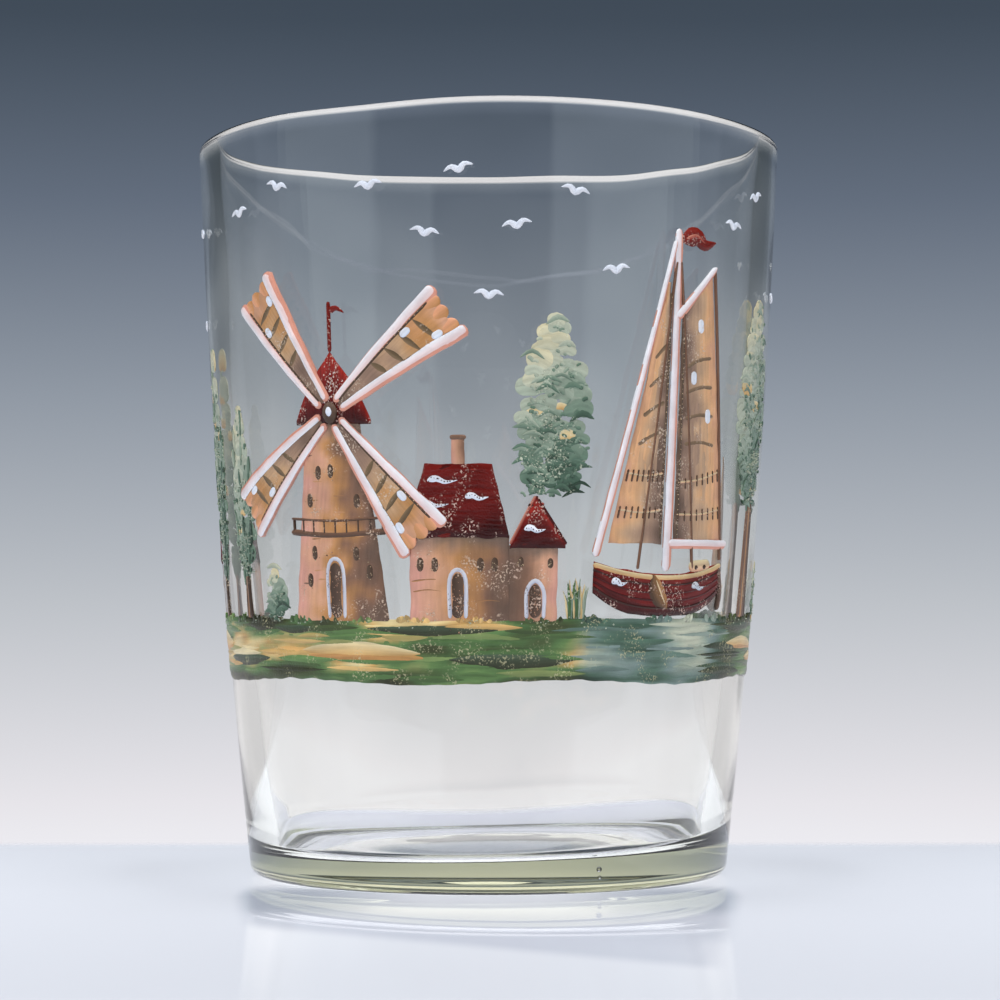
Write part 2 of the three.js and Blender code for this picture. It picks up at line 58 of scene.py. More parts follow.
# %% Sizes that the frame gives
glass_low, glass_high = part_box("glass_body")
HEIGHT = (glass_high[2] - glass_low[2]) / MM
RIM_RADIUS = (glass_high[0] - glass_low[0]) / 2 / MM
BANK_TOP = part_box("river_bank")[1][2] / MM
print(f"glass {HEIGHT:.1f} mm high, rim radius {RIM_RADIUS:.2f} mm, bank top {BANK_TOP:.2f} mm")

# %% [markdown]
# The photograph was taken close to the table, from below the rim: the near edge of the rim arches up
# and the far edge hangs down. A long lens half a metre away gives the same arcs. The camera looks up
# a little, which puts the horizon below the middle of the picture.

# %% Camera
CAMERA_DISTANCE = 468
CAMERA_HEIGHT = 44.6
CAMERA_LOOKS_UP = math.radians(1.672)
CAMERA_LOOKS_RIGHT = math.radians(0.221)
LENS = 107.3

bpy.ops.object.camera_add(
    location=(0, -CAMERA_DISTANCE * MM, CAMERA_HEIGHT * MM),
    rotation=(math.pi / 2 + CAMERA_LOOKS_UP, 0, -CAMERA_LOOKS_RIGHT),
)
camera = bpy.context.object
camera.name = "camera"
camera.data.lens = LENS
camera.data.sensor_width = 36
camera.data.clip_start = 0.01
bpy.context.scene.camera = camera
print("camera", tuple(camera.location))


# %% Colours as they look on the screen
def screen(red, green, blue):
    """A screen colour from 0 to 255 as the linear colour that a socket wants."""
    linear = []
    for value in (red, green, blue):
        share = value / 255
        linear.append(share / 12.92 if share <= 0.04045 else ((share + 0.055) / 1.055) ** 2.4)
    return (*linear, 1)


# %% Short ways to build node trees
def add_node(tree, kind, **settings):
    node = tree.nodes.new(f"ShaderNode{kind}")
    for name, value in settings.items():
        setattr(node, name, value)
    return node


def calculate(tree, operation, first, second=None):
    """A Math node on sockets or plain numbers; gives its output socket."""
    node = add_node(tree, "Math", operation=operation)
    for index, value in enumerate((first, second)):
        if isinstance(value, bpy.types.NodeSocket):
            tree.links.new(value, node.inputs[index])
        elif value is not None:
            node.inputs[index].default_value = value
    return node.outputs[0]


def remap(tree, value, low, high, to_low=0.0, to_high=1.0, smooth=False):
    node = add_node(tree, "MapRange", interpolation_type="SMOOTHSTEP" if smooth else "LINEAR")
    tree.links.new(value, node.inputs["Value"])
    node.inputs["From Min"].default_value = low
    node.inputs["From Max"].default_value = high
    node.inputs["To Min"].default_value = to_low
    node.inputs["To Max"].default_value = to_high
    return node.outputs["Result"]


# %% [markdown]
# The glass stands on a pale glossy table whose far edge is just behind it. Beyond it the backdrop
# runs from nearly white at the table to slate blue overhead. Glass shows whatever is round it, so
# the backdrop is a world that depends on the height of the ray.

# %% The backdrop
BACKDROP = (
    (-0.083, (235, 234, 239)), (-0.071, (230, 228, 233)), (-0.004, (188, 192, 198)),
    (0.063, (144, 152, 163)), (0.130, (99, 109, 124)), (0.191, (68, 78, 90)), (0.300, (46, 54, 64)),
)
LOWEST, HIGHEST = BACKDROP[0][0], BACKDROP[-1][0]
SCREEN_GAMMA = 2.2

world = bpy.data.worlds.new("studio")
bpy.context.scene.world = world
world.use_nodes = True
sky = world.node_tree
sky.nodes.clear()
direction = add_node(sky, "TexCoord")
split = add_node(sky, "SeparateXYZ")
sky.links.new(direction.outputs["Generated"], split.inputs[0])
sideways = calculate(sky, "MULTIPLY", split.outputs["X"], split.outputs["X"])
onwards = calculate(sky, "MULTIPLY", split.outputs["Y"], split.outputs["Y"])
level = calculate(sky, "SQRT", calculate(sky, "ADD", sideways, onwards))
slope = calculate(sky, "DIVIDE", split.outputs["Z"], level)
ramp = add_node(sky, "ValToRGB")
for index, (height, colour) in enumerate(BACKDROP):
    place = (height - LOWEST) / (HIGHEST - LOWEST)
    stop = ramp.color_ramp.elements[index] if index < 2 else ramp.color_ramp.elements.new(place)
    stop.position = place
    stop.color = (*[value / 255 for value in colour], 1)
sky.links.new(remap(sky, slope, LOWEST, HIGHEST), ramp.inputs["Fac"])
backdrop = add_node(sky, "Gamma")
backdrop.inputs["Gamma"].default_value = SCREEN_GAMMA
sky.links.new(ramp.outputs["Color"], backdrop.inputs["Color"])

# %% [markdown]
# A photographer lights a glass with pale panels either side of the camera and leaves the room dark
# between them, and stands dark cards at the sides to draw the edges. Only rays that the glass or a
# gloss has reflected see the panels and the cards, so a straight look through the glass stays clear.
# The world knows such rays by their glossy depth.

# %% Panels and cards
PANEL_COLOUR = (0.46, 0.52, 0.57, 1)
ROOM_COLOUR = (0.05, 0.055, 0.06, 1)
ROOM_FROM, ROOM_TO, ROOM_EDGE = -46, 25, 2
CARD_FROM, CARD_FULL = 17, 22
CARD_COLOUR = (0.04, 0.05, 0.055, 1)
CARD_FOOT, CARD_TOP = -0.03, 0.13
CARD_FAINT, CARD_STRONG = 0.28, 0.95
OVERHEAD_COLOUR = (0.46, 0.48, 0.46, 1)
OVERHEAD_FROM, OVERHEAD_TO = 0.22, 0.42


def band(tree, value, start, end, edge):
    """1 between two values and 0 outside them, with soft edges."""
    rises = remap(tree, value, start - edge, start + edge, smooth=True)
    falls = remap(tree, value, end - edge, end + edge, 1, 0, smooth=True)
    return calculate(tree, "MULTIPLY", rises, falls)


def blend_colour(tree, share, first, second):
    """A Mix node between two colours, each a socket or a plain colour."""
    node = add_node(tree, "Mix", data_type="RGBA")
    tree.links.new(share, node.inputs["Factor"])
    for name, value in (("A", first), ("B", second)):
        if isinstance(value, bpy.types.NodeSocket):
            tree.links.new(value, node.inputs[name])
        else:
            node.inputs[name].default_value = value
    return node.outputs["Result"]


path = add_node(sky, "LightPath")
reflected = calculate(sky, "GREATER_THAN", path.outputs["Glossy Depth"], 0.5)
passed_through = calculate(sky, "GREATER_THAN", path.outputs["Transmission Depth"], 0.5)
towards_camera = calculate(sky, "LESS_THAN", split.outputs["Y"], 0.0)
backwards = calculate(sky, "MULTIPLY", split.outputs["Y"], -1.0)
turn = calculate(sky, "DEGREES", calculate(sky, "ARCTAN2", split.outputs["X"], backwards))
room = band(sky, turn, ROOM_FROM, ROOM_TO, ROOM_EDGE)
front = blend_colour(sky, room, PANEL_COLOUR, ROOM_COLOUR)
quarter = calculate(sky, "PINGPONG", calculate(sky, "ABSOLUTE", turn), 45.0)
card = remap(sky, quarter, CARD_FROM, CARD_FULL, smooth=True)
card_fades = remap(sky, slope, CARD_FOOT, CARD_TOP, CARD_FAINT, CARD_STRONG, smooth=True)
inner = calculate(sky, "MULTIPLY", reflected, passed_through)
card_share = calculate(sky, "MULTIPLY", calculate(sky, "MULTIPLY", card, card_fades), inner)
with_cards = blend_colour(sky, card_share, backdrop.outputs[0], CARD_COLOUR)
overhead = remap(sky, slope, OVERHEAD_FROM, OVERHEAD_TO, smooth=True)
overhead_share = calculate(sky, "MULTIPLY", overhead, inner)
with_overhead = blend_colour(sky, overhead_share, with_cards, OVERHEAD_COLOUR)
shown = blend_colour(sky, calculate(sky, "MULTIPLY", reflected, towards_camera), with_overhead, front)

# %% [markdown]
# Rays that light the enamel and the table see none of this, but a plain pale sky, so that a colour
# renders about as it is written.

# %% World
SKY_LIGHT = (0.80, 0.82, 0.86, 1)
SKY_STRENGTH = 0.42

seen = add_node(sky, "Background")
sky.links.new(shown, seen.inputs["Color"])
lighting = add_node(sky, "Background")
lighting.inputs["Color"].default_value = SKY_LIGHT
lighting.inputs["Strength"].default_value = SKY_STRENGTH
by_glass = calculate(sky, "MAXIMUM", path.outputs["Is Glossy Ray"], path.outputs["Is Transmission Ray"])
looks = calculate(sky, "MAXIMUM", path.outputs["Is Camera Ray"], by_glass)
undiffused = calculate(sky, "LESS_THAN", path.outputs["Diffuse Depth"], 0.5)
which = add_node(sky, "MixShader")
sky.links.new(calculate(sky, "MULTIPLY", looks, undiffused), which.inputs["Fac"])
sky.links.new(lighting.outputs[0], which.inputs[1])
sky.links.new(seen.outputs[0], which.inputs[2])
world_out = add_node(sky, "OutputWorld")
sky.links.new(which.outputs[0], world_out.inputs["Surface"])
print("world nodes", len(sky.nodes))

# %% [markdown]
# The table is white and glossy, and fades into the backdrop at its far edge. The glass casts no
# shadow of its own, so a pale painted shade lies in the table's colour in front of it, with a slanting
# end, darker at both sides close to the glass, as if the light came from behind. The table's colour is
# also painted brighter at the back and dimmer towards the camera, and where the table is seen through
# the glass it is painted a little darker and bluer. Right under the base the table gives off a faint
# painted glow that stands for the light the glass gathers there.

# %% Table
TABLE_END = 57
TABLE_SIZE = 1600
TABLE_RISE = -0.02
TABLE_COLOUR = screen(231, 234, 242)
# Colours of the painted shade in front of the glass: paler far from it, darker at its sides close to it
SHADE_COLOUR = screen(207, 211, 223)
SIDE_SHADE_COLOUR = screen(178, 185, 198)
# The table seen through the glass is painted darker and bluer
THROUGH_GLASS_SHADE = screen(204, 207, 224)
SHADE_FAR, SHADE_NEAR = (-37, 36), (-146, 24)
SHADE_EDGE = (1.5, -2.5)
SHADE_STARTS, SHADE_ENDS = (-18, -32), (-103, -92)
SHADE_SLANT = 0.75
CLOSE, TO_SIDE = (-66, -50), (6, 30)
# Painted light: the table's colour is dimmer towards the camera and brighter at the back
DIM_AT, BRIGHT_AT = (-137, 0.9), (-28, 1.1)
END_FADES = (TABLE_END, TABLE_END - 12)
MOST_TURNS = 2.5
# A painted glow on the table under the base, made by emission, not by a lamp
GATHERED_RADIUS = 36
GATHERED_LIGHT = 0.22

bpy.ops.mesh.primitive_plane_add(
    size=TABLE_SIZE * MM, location=(0, (TABLE_END - TABLE_SIZE / 2) * MM, TABLE_RISE * MM)
)
table = bpy.context.object
table.name = "table"
bpy.ops.object.transform_apply(location=True)
table_paint = bpy.data.materials.new("table_paint")
table_paint.use_nodes = True
tree = table_paint.node_tree
shader = tree.nodes["Principled BSDF"]
shader.inputs["Roughness"].default_value = 0.02
shader.inputs["IOR"].default_value = 1.1
spot = add_node(tree, "TexCoord").outputs["Object"]
parts = add_node(tree, "SeparateXYZ")
tree.links.new(spot, parts.inputs[0])
table_x, table_y = parts.outputs["X"], parts.outputs["Y"]


def fade(value, places):
    """A soft rise from 0 at the first place to 1 at the second."""
    return remap(tree, value, places[0] * MM, places[1] * MM, smooth=True)


# The painted shade: its outline in front of the glass, its slanting end, and its darker sides close to the
# glass
shade_edge = remap(tree, table_y, SHADE_NEAR[0] * MM, SHADE_FAR[0] * MM, SHADE_NEAR[1] * MM,
                   SHADE_FAR[1] * MM)
aside = calculate(tree, "ABSOLUTE", table_x)
within = fade(calculate(tree, "SUBTRACT", aside, shade_edge), SHADE_EDGE)
slanted = calculate(tree, "ADD", table_y, calculate(tree, "MULTIPLY", table_x, SHADE_SLANT))
shade_share = calculate(tree, "MULTIPLY", within, fade(slanted, SHADE_ENDS))
shade_share = calculate(tree, "MULTIPLY", shade_share, fade(table_y, SHADE_STARTS))
# Where the table is seen through the glass walls, its colour is painted darker and bluer
seen_by = add_node(tree, "LightPath")
through_walls = calculate(tree, "GREATER_THAN", seen_by.outputs["Transmission Depth"], MOST_TURNS)
few_turns = calculate(tree, "LESS_THAN", seen_by.outputs["Glossy Depth"], MOST_TURNS)
through_share = calculate(tree, "MULTIPLY", through_walls, few_turns)
close_shade = blend_colour(tree, fade(aside, TO_SIDE), TABLE_COLOUR, SIDE_SHADE_COLOUR)
shade = blend_colour(tree, fade(table_y, CLOSE), SHADE_COLOUR, close_shade)
# Painted light on the table: dimmer towards the camera, brighter at the back
lit = add_node(tree, "VectorMath", operation="SCALE")
tree.links.new(blend_colour(tree, shade_share, TABLE_COLOUR, shade), lit.inputs[0])
light = remap(tree, table_y, DIM_AT[0] * MM, BRIGHT_AT[0] * MM, DIM_AT[1], BRIGHT_AT[1])
tree.links.new(light, lit.inputs["Scale"])
seen_colour = blend_colour(tree, through_share, lit.outputs[0], THROUGH_GLASS_SHADE)
tree.links.new(seen_colour, shader.inputs["Base Color"])
tree.links.new(fade(table_y, END_FADES), shader.inputs["Alpha"])
# The painted glow under the base, from emission in the table's own material
from_axis = add_node(tree, "VectorMath", operation="LENGTH")
tree.links.new(spot, from_axis.inputs[0])
under = remap(tree, from_axis.outputs["Value"], (GATHERED_RADIUS - 1) * MM, GATHERED_RADIUS * MM,
              GATHERED_LIGHT, 0)
shader.inputs["Emission Color"].default_value = TABLE_COLOUR
tree.links.new(under, shader.inputs["Emission Strength"])
table.data.materials.append(table_paint)

# %% Lamps
LAMPS_AIM = Vector((0, 0, 60))
SOFTBOXES = (
    ("overhead_softbox", (0, -60, 700), (600, 500), 4),
    ("front_left_softbox", (-520, -620, 420), (380, 380), 2.6),
    ("front_right_softbox", (520, -620, 360), (380, 380), 1.8),
    ("back_softbox", (0, 760, 420), (380, 380), 2.4),
)
for name, place, size, watts in SOFTBOXES:
    bpy.ops.object.light_add(type="AREA", location=[value * MM for value in place])
    lamp = bpy.context.object
    lamp.name = name
    lamp.data.shape = "RECTANGLE"
    lamp.data.size, lamp.data.size_y = size[0] * MM, size[1] * MM
    lamp.data.energy = watts
    lamp.rotation_euler = (LAMPS_AIM - Vector(place)).to_track_quat("-Z", "Y").to_euler()
    lamp.visible_glossy = False
    lamp.visible_transmission = False
    print(name, watts, "W")

# %% [markdown]
# The glass is drawn as half an outline, from the middle of the underside round the heel, up the
# wall, over the rim and down to the middle of the floor, one vertex at a time, and spun round its
# axis. The same few sizes as in the CAD part give the outline, so both surfaces agree.

# %% The wall of the glass
BASE_RADIUS = 37.2
WALL_BELLY = 0.96
WALL_AT_BASE, WALL_AT_RIM = 3.7, 3.2
SWELL_TALL = 26
HEEL = 2
RIM_OUTSIDE, RIM_INSIDE = 1.15, 0.9
WALL_TOP = HEIGHT - RIM_OUTSIDE


def share_up_wall(height):
    return (height - HEEL) / (WALL_TOP - HEEL)


def outer_radius(height):
    share = share_up_wall(height)
    return BASE_RADIUS + (RIM_RADIUS - BASE_RADIUS) * share + WALL_BELLY * 4 * share * (1 - share)


def inner_radius(height, swell=0):
    """The wall can swell over its lowest part, as blown glass does above its fillet."""
    wall = WALL_AT_BASE + (WALL_AT_RIM - WALL_AT_BASE) * share_up_wall(height)
    return outer_radius(height) - wall - swell * max(0, 1 - height / SWELL_TALL) ** 2


# %% The floor of the glass
FLOOR_THICKNESS = 4.8
FLOOR_DOME = 0.6
FLOOR_RIDGE, RIDGE_RADIUS, RIDGE_WIDE = 0.1, 24, 1.6
FILLET = 4.5
WALL_STEPS, ROUND_STEPS, FLOOR_STEPS = 60, 14, 24


def arc(centre_x, centre_y, radius, start, end, steps):
    turns = [math.radians(start + (end - start) * step / steps) for step in range(steps + 1)]
    return [(centre_x + radius * math.cos(turn), centre_y + radius * math.sin(turn)) for turn in turns]


def inside_outline(fillet, floor_rise, swell=0):
    """Down the inner wall, round its fillet, and in to the middle of the floor."""
    floor_level = FLOOR_THICKNESS + floor_rise
    fillet_top = floor_level + fillet
    wall = []
    for step in range(1, WALL_STEPS):
        height = WALL_TOP + (fillet_top - WALL_TOP) * step / WALL_STEPS
        wall.append((inner_radius(height, swell), height))
    floor_radius = inner_radius(fillet_top, swell) - fillet
    floor = []
    for step in range(1, FLOOR_STEPS + 1):
        share = 1 - step / FLOOR_STEPS
        ridge = FLOOR_RIDGE * math.exp(-(((share * floor_radius - RIDGE_RADIUS) / RIDGE_WIDE) ** 2))
        dome = FLOOR_DOME * (1 - share * share)
        level = FLOOR_THICKNESS + floor_rise * share + dome + ridge
        floor.append((floor_radius * share, level))
    return wall + arc(floor_radius, fillet_top, fillet, 0, -90, ROUND_STEPS) + floor


# %% The whole outline
PONTIL_RADIUS, PONTIL_DEPTH, PONTIL_STEPS = 14, 1, 10
RIM_STEPS = 12


def outside_outline(heel=HEEL):
    pontil = []
    for step in range(PONTIL_STEPS + 1):
        share = step / PONTIL_STEPS
        pontil.append((PONTIL_RADIUS * share, PONTIL_DEPTH * (1 - share * share) ** 1.5))
    foot = arc(outer_radius(heel) - heel, heel, heel, -90, 0, ROUND_STEPS)
    wall = []
    for step in range(1, WALL_STEPS):
        height = heel + (WALL_TOP - heel) * step / WALL_STEPS
        wall.append((outer_radius(height), height))
    rim_outside = arc(RIM_RADIUS - RIM_OUTSIDE, HEIGHT - RIM_OUTSIDE, RIM_OUTSIDE, 0, 90, RIM_STEPS)
    rim_inside = arc(RIM_RADIUS - WALL_AT_RIM + RIM_INSIDE, HEIGHT - RIM_INSIDE, RIM_INSIDE, 90, 180,
                     RIM_STEPS)
    return pontil + foot + wall + rim_outside + rim_inside


outside = outside_outline()
outline = outside + inside_outline(FILLET, 0)
print("outline points", len(outline))

# %% Draw the outline and spin it
SPIN_STEPS = 192


def draw_chain(name, points):
    """A chain of edges, drawn as by hand: one vertex is extruded from point to point."""
    bpy.ops.mesh.primitive_plane_add(size=MM)
    chain = bpy.context.object
    chain.name = name
    bpy.ops.object.mode_set(mode="EDIT")
    bpy.ops.mesh.select_all(action="SELECT")
    bpy.ops.mesh.merge(type="CENTER")
    bpy.ops.transform.translate(value=points[0])
    for before, after in zip(points, points[1:]):
        step = [b - a for a, b in zip(before, after)]
        bpy.ops.mesh.extrude_region_move(TRANSFORM_OT_translate={"value": step})
    bpy.ops.object.mode_set(mode="OBJECT")
    return chain


glass = draw_chain("blown_glass", [(radius * MM, 0, height * MM) for radius, height in outline])
bpy.ops.object.mode_set(mode="EDIT")
bpy.ops.mesh.select_all(action="SELECT")
bpy.ops.mesh.spin(steps=SPIN_STEPS, angle=2 * math.pi, center=(0, 0, 0), axis=(0, 0, 1))
bpy.ops.mesh.select_all(action="SELECT")
bpy.ops.mesh.remove_doubles(threshold=0.00001)
bpy.ops.mesh.normals_make_consistent(inside=False)
bpy.ops.object.mode_set(mode="OBJECT")
bpy.ops.object.shade_smooth()
print("glass faces", len(glass.data.polygons))

# %% [markdown]
# A blown glass is never quite even. Here the floor climbs a little to the right, and the inner
# wall meets it in a tight corner at the front but in a wide one at the back, which draws the table's
# edge up into the glass. The heel is sharper at the back, the wall is thicker low down at both sides,
# and the rim sinks there by a millimetre or two, with one more shallow dip at its front left. Each
# spoke of the spun mesh gets an outline of its own, and slow waves run over the inner wall.

# %% Make the glass uneven
FILLET_FRONT, FILLET_BACK, FILLET_RIGHT = 1.4, 6.2, 2.4
FILLET_POWER = 1.5
FLOOR_CLIMB = 0.7
SWELL_SIDES = 1.1
RIM_DROP_LEFT, RIM_DROP_RIGHT = 1.7, 1.1
RIM_DROP_POWER = 2.5
RIM_DIP, DIP_TURN, DIP_WIDE = 0.6, -0.44, 0.3
SINK_POWER = 8
HEEL_BACK = 0.4
WALL_WAVE = 0.07
WAVE_WIDE, WAVE_TALL = 9, 13
WAVE_FROM, WAVE_TO = 12, 30
SAME_TURN, ON_AXIS = 0.001, 0.01

places = np.empty(len(glass.data.vertices) * 3)
glass.data.vertices.foreach_get("co", places)
places = places.reshape(-1, 3) / MM
radii = np.hypot(places[:, 0], places[:, 1])
turns = np.arctan2(places[:, 0], -places[:, 1])
outline_points = np.array(outline)
gaps = np.hypot(radii[:, None] - outline_points[:, 0], places[:, 2][:, None] - outline_points[:, 1])
stations = gaps.argmin(axis=1)
for turn in np.unique(turns.round(4)):
    behind = (1 - math.cos(turn)) / 2
    to_right = math.sin(turn)
    fillet = FILLET_FRONT + (FILLET_BACK - FILLET_FRONT) * behind ** FILLET_POWER
    fillet += FILLET_RIGHT * max(0, to_right) * behind
    heel = HEEL + (HEEL_BACK - HEEL) * max(0, 2 * behind - 1)
    swell = SWELL_SIDES * to_right ** 2
    own = np.array(outside_outline(heel) + inside_outline(fillet, FLOOR_CLIMB * to_right, swell))
    drop = (RIM_DROP_RIGHT if to_right > 0 else RIM_DROP_LEFT) * abs(to_right) ** RIM_DROP_POWER
    drop += RIM_DIP * math.exp(-(((turn - DIP_TURN) / DIP_WIDE) ** 2))
    own[:, 1] -= drop * (own[:, 1] / HEIGHT) ** SINK_POWER
    spoke = (np.abs(turns - turn) < SAME_TURN) & (radii > ON_AXIS)
    station = stations[spoke]
    places[spoke, 0] = own[station, 0] * to_right
    places[spoke, 1] = -own[station, 0] * math.cos(turn)
    places[spoke, 2] = own[station, 1]
for vertex in np.flatnonzero((stations >= len(outside)) & (places[:, 2] > WAVE_FROM)):
    x, y, z = places[vertex]
    wave = noise.noise(Vector((x / WAVE_WIDE, y / WAVE_WIDE, z / WAVE_TALL)))
    strength = min(1, (z - WAVE_FROM) / (WAVE_TO - WAVE_FROM))
    places[vertex, :2] *= 1 + WALL_WAVE * wave * strength / math.hypot(x, y)
glass.data.vertices.foreach_set("co", (places * MM).ravel())
glass.data.update()

# %% Two seeds of air in the base
SEEDS = ((15.5, -29.5, 3.5, 0.42), (15.6, -29.4, 2.3, 0.28))
for x, y, z, radius in SEEDS:
    bpy.ops.mesh.primitive_uv_sphere_add(segments=14, ring_count=9, radius=radius * MM,
                                         location=(x * MM, y * MM, z * MM))
    bpy.ops.object.mode_set(mode="EDIT")
    bpy.ops.mesh.select_all(action="SELECT")
    bpy.ops.mesh.flip_normals()
    bpy.ops.object.mode_set(mode="OBJECT")
    bpy.ops.object.shade_smooth()
    glass.select_set(True)
    bpy.context.view_layer.objects.active = glass
    bpy.ops.object.join()
print("glass faces with seeds", len(glass.data.polygons))

# %% Glass shader
glass_paint = bpy.data.materials.new("soda_glass")
glass_paint.use_nodes = True
shader = glass_paint.node_tree.nodes["Principled BSDF"]
shader.inputs["Base Color"].default_value = (1, 1, 1, 1)
shader.inputs["Roughness"].default_value = 0.0
shader.inputs["IOR"].default_value = 1.51
shader.inputs["Transmission Weight"].default_value = 1.0
absorb = add_node(glass_paint.node_tree, "VolumeAbsorption")
absorb.inputs["Color"].default_value = (0.95, 0.93, 0.562, 1)
absorb.inputs["Density"].default_value = 16
glass_out = glass_paint.node_tree.nodes["Material Output"]
glass_paint.node_tree.links.new(absorb.outputs[0], glass_out.inputs["Volume"])
glass.data.materials.append(glass_paint)
glass.visible_shadow = False
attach(glass, "root")
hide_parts("glass_body")

# %% [markdown]
# Enamel is coloured glass powder, painted on with a brush and fired until it melts. It keeps the
# streaks of the brush, it is thick and glossy in the middle of a mark and thin at its edge, and old
# enamel is pitted where flakes have come off. The pits take a flake colour that is pale on the darker
# paints, so they also serve as painted glints of light. One node group gives all of that to every
# colour. The colour itself is painted on each vertex, and the streaks follow a UV map that runs along
# the brush.

# %% Node group: fired enamel
BRUSH_UV = 0.01
ALONG_BRUSH = (0.12, 1.5, 1)
CLOUDS, GRAINS = 0.3 / MM, 3.2 / MM


def add_texture(tree, coordinates, scale, detail, stretch=(1, 1, 1)):
    mapping = add_node(tree, "Mapping")
    mapping.inputs["Scale"].default_value = stretch
    tree.links.new(coordinates, mapping.inputs["Vector"])
    texture = add_node(tree, "TexNoise")
    texture.inputs["Scale"].default_value = scale
    texture.inputs["Detail"].default_value = detail
    tree.links.new(mapping.outputs[0], texture.inputs["Vector"])
    return texture.outputs["Fac"]


def make_enamel_group():
    group = bpy.data.node_groups.new("fired_enamel", "ShaderNodeTree")
    for name, kind, default in (
        ("Paint", "NodeSocketColor", (0.5, 0.5, 0.5, 1)),
        ("Streaks", "NodeSocketFloat", 0.5),
        ("Flakes And Glints", "NodeSocketFloat", 0.5),
        ("Flake And Glint Colour", "NodeSocketColor", (0.8, 0.7, 0.6, 1)),
        ("Gloss", "NodeSocketFloat", 0.7),
    ):
        socket = group.interface.new_socket(name=name, in_out="INPUT", socket_type=kind)
        socket.default_value = default
    for name, kind in (("Colour", "NodeSocketColor"), ("Roughness", "NodeSocketFloat"),
                       ("Height", "NodeSocketFloat")):
        group.interface.new_socket(name=name, in_out="OUTPUT", socket_type=kind)
    given = group.nodes.new("NodeGroupInput")
    result = group.nodes.new("NodeGroupOutput")
    brush = add_node(group, "UVMap", uv_map="brush").outputs["UV"]
    place = add_node(group, "TexCoord").outputs["Object"]

    streak = add_texture(group, brush, 1 / BRUSH_UV, 3, stretch=ALONG_BRUSH)
    cloud = add_texture(group, place, CLOUDS, 2)
    grains = add_texture(group, place, GRAINS, 3)
    clumps = add_texture(group, place, CLOUDS, 4)
    lightness = add_node(group, "RGBToBW")
    group.links.new(given.outputs["Paint"], lightness.inputs[0])
    # Specks crowd more on dark paint, where their pale colour stands for painted glints as well as pits
    more_specks_on_dark = remap(group, lightness.outputs[0], 0.02, 0.35, 0.03, -0.06)
    crowded = calculate(group, "ADD", clumps, more_specks_on_dark)
    pits = calculate(group, "MULTIPLY", remap(group, grains, 0.54, 0.62, smooth=True),
                     remap(group, crowded, 0.5, 0.62, smooth=True))
    flakes_and_glints = calculate(group, "MULTIPLY", pits, given.outputs["Flakes And Glints"])

    streak_shade = calculate(group, "MULTIPLY", remap(group, streak, 0.3, 0.7, -0.34, 0.34),
                             given.outputs["Streaks"])
    cloud_shade = remap(group, cloud, 0.3, 0.7, 0.92, 1.08)
    shade = calculate(group, "ADD", streak_shade, cloud_shade)
    painted = add_node(group, "VectorMath", operation="SCALE")
    group.links.new(given.outputs["Paint"], painted.inputs[0])
    group.links.new(shade, painted.inputs["Scale"])
    # Mix in the speck colour: pits, which are also painted glints of light where the colour is pale
    speckled_paint = blend_colour(group, flakes_and_glints, painted.outputs[0], given.outputs["Flake And Glint Colour"])
    group.links.new(speckled_paint, result.inputs["Colour"])

    dull = calculate(group, "SUBTRACT", 1.0, given.outputs["Gloss"])
    rougher = calculate(group, "MULTIPLY", flakes_and_glints, 0.4)
    group.links.new(calculate(group, "ADD", dull, rougher), result.inputs["Roughness"])
    ridges = calculate(group, "MULTIPLY", streak, 0.7)
    relief = calculate(group, "ADD", ridges, calculate(group, "MULTIPLY", grains, 0.5))
    sunk = calculate(group, "MULTIPLY", flakes_and_glints, 0.8)
    group.links.new(calculate(group, "SUBTRACT", relief, sunk), result.inputs["Height"])
    return group


enamel_group = make_enamel_group()
print("enamel group nodes", len(enamel_group.nodes))

# %% Enamel materials
RELIEF = 0.16 * MM
SHEEN_LEVEL = 0.25
# Each enamel: its slot, how streaky it is, how much it is speckled with pits and painted glints, the colour
# of those specks, and its gloss
ENAMELS = (
    ("enamel_bank", 0.6, 0.55, (206, 200, 160), 0.7),
    ("enamel_plaster", 0.3, 0.7, (226, 196, 176), 0.72),
    ("enamel_stone", 0.3, 0.85, (214, 188, 166), 0.7),
    ("enamel_roof", 0.8, 0.9, (214, 184, 170), 0.8),
    ("enamel_spar", 0.2, 0.1, (190, 160, 150), 0.78),
    ("enamel_canvas", 0.4, 0.8, (216, 196, 176), 0.72),
    ("enamel_timber", 0.5, 0.8, (206, 188, 160), 0.7),
    ("enamel_leaf", 0.5, 0.85, (206, 212, 190), 0.74),
    ("enamel_white", 0.3, 0.1, (190, 196, 206), 0.78),
)


def make_enamel(slot, streaks, flakes_and_glints_amount, flake_and_glint_colour, gloss):
    material = bpy.data.materials.new(slot)
    material.use_nodes = True
    tree = material.node_tree
    shader = tree.nodes["Principled BSDF"]
    shader.inputs["Specular IOR Level"].default_value = SHEEN_LEVEL
    paint = add_node(tree, "Attribute", attribute_name="paint")
    fired = add_node(tree, "Group", node_tree=enamel_group)
    for name, value in (("Streaks", streaks), ("Flakes And Glints", flakes_and_glints_amount), ("Gloss", gloss),
                        ("Flake And Glint Colour", screen(*flake_and_glint_colour))):
        fired.inputs[name].default_value = value
    bump = add_node(tree, "Bump")
    bump.inputs["Distance"].default_value = RELIEF
    for given, taken in (
        (paint.outputs["Color"], fired.inputs["Paint"]),
        (fired.outputs["Colour"], shader.inputs["Base Color"]),
        (fired.outputs["Roughness"], shader.inputs["Roughness"]),
        (fired.outputs["Height"], bump.inputs["Height"]),
        (bump.outputs["Normal"], shader.inputs["Normal"]),
    ):
        tree.links.new(given, taken)
    return material


enamels = {slot: make_enamel(slot, *look) for slot, *look in ENAMELS}
slot_of = {part["node"]: part["material_slot"] for part in frame["record"]["subparts"]}
print("enamels", len(enamels))

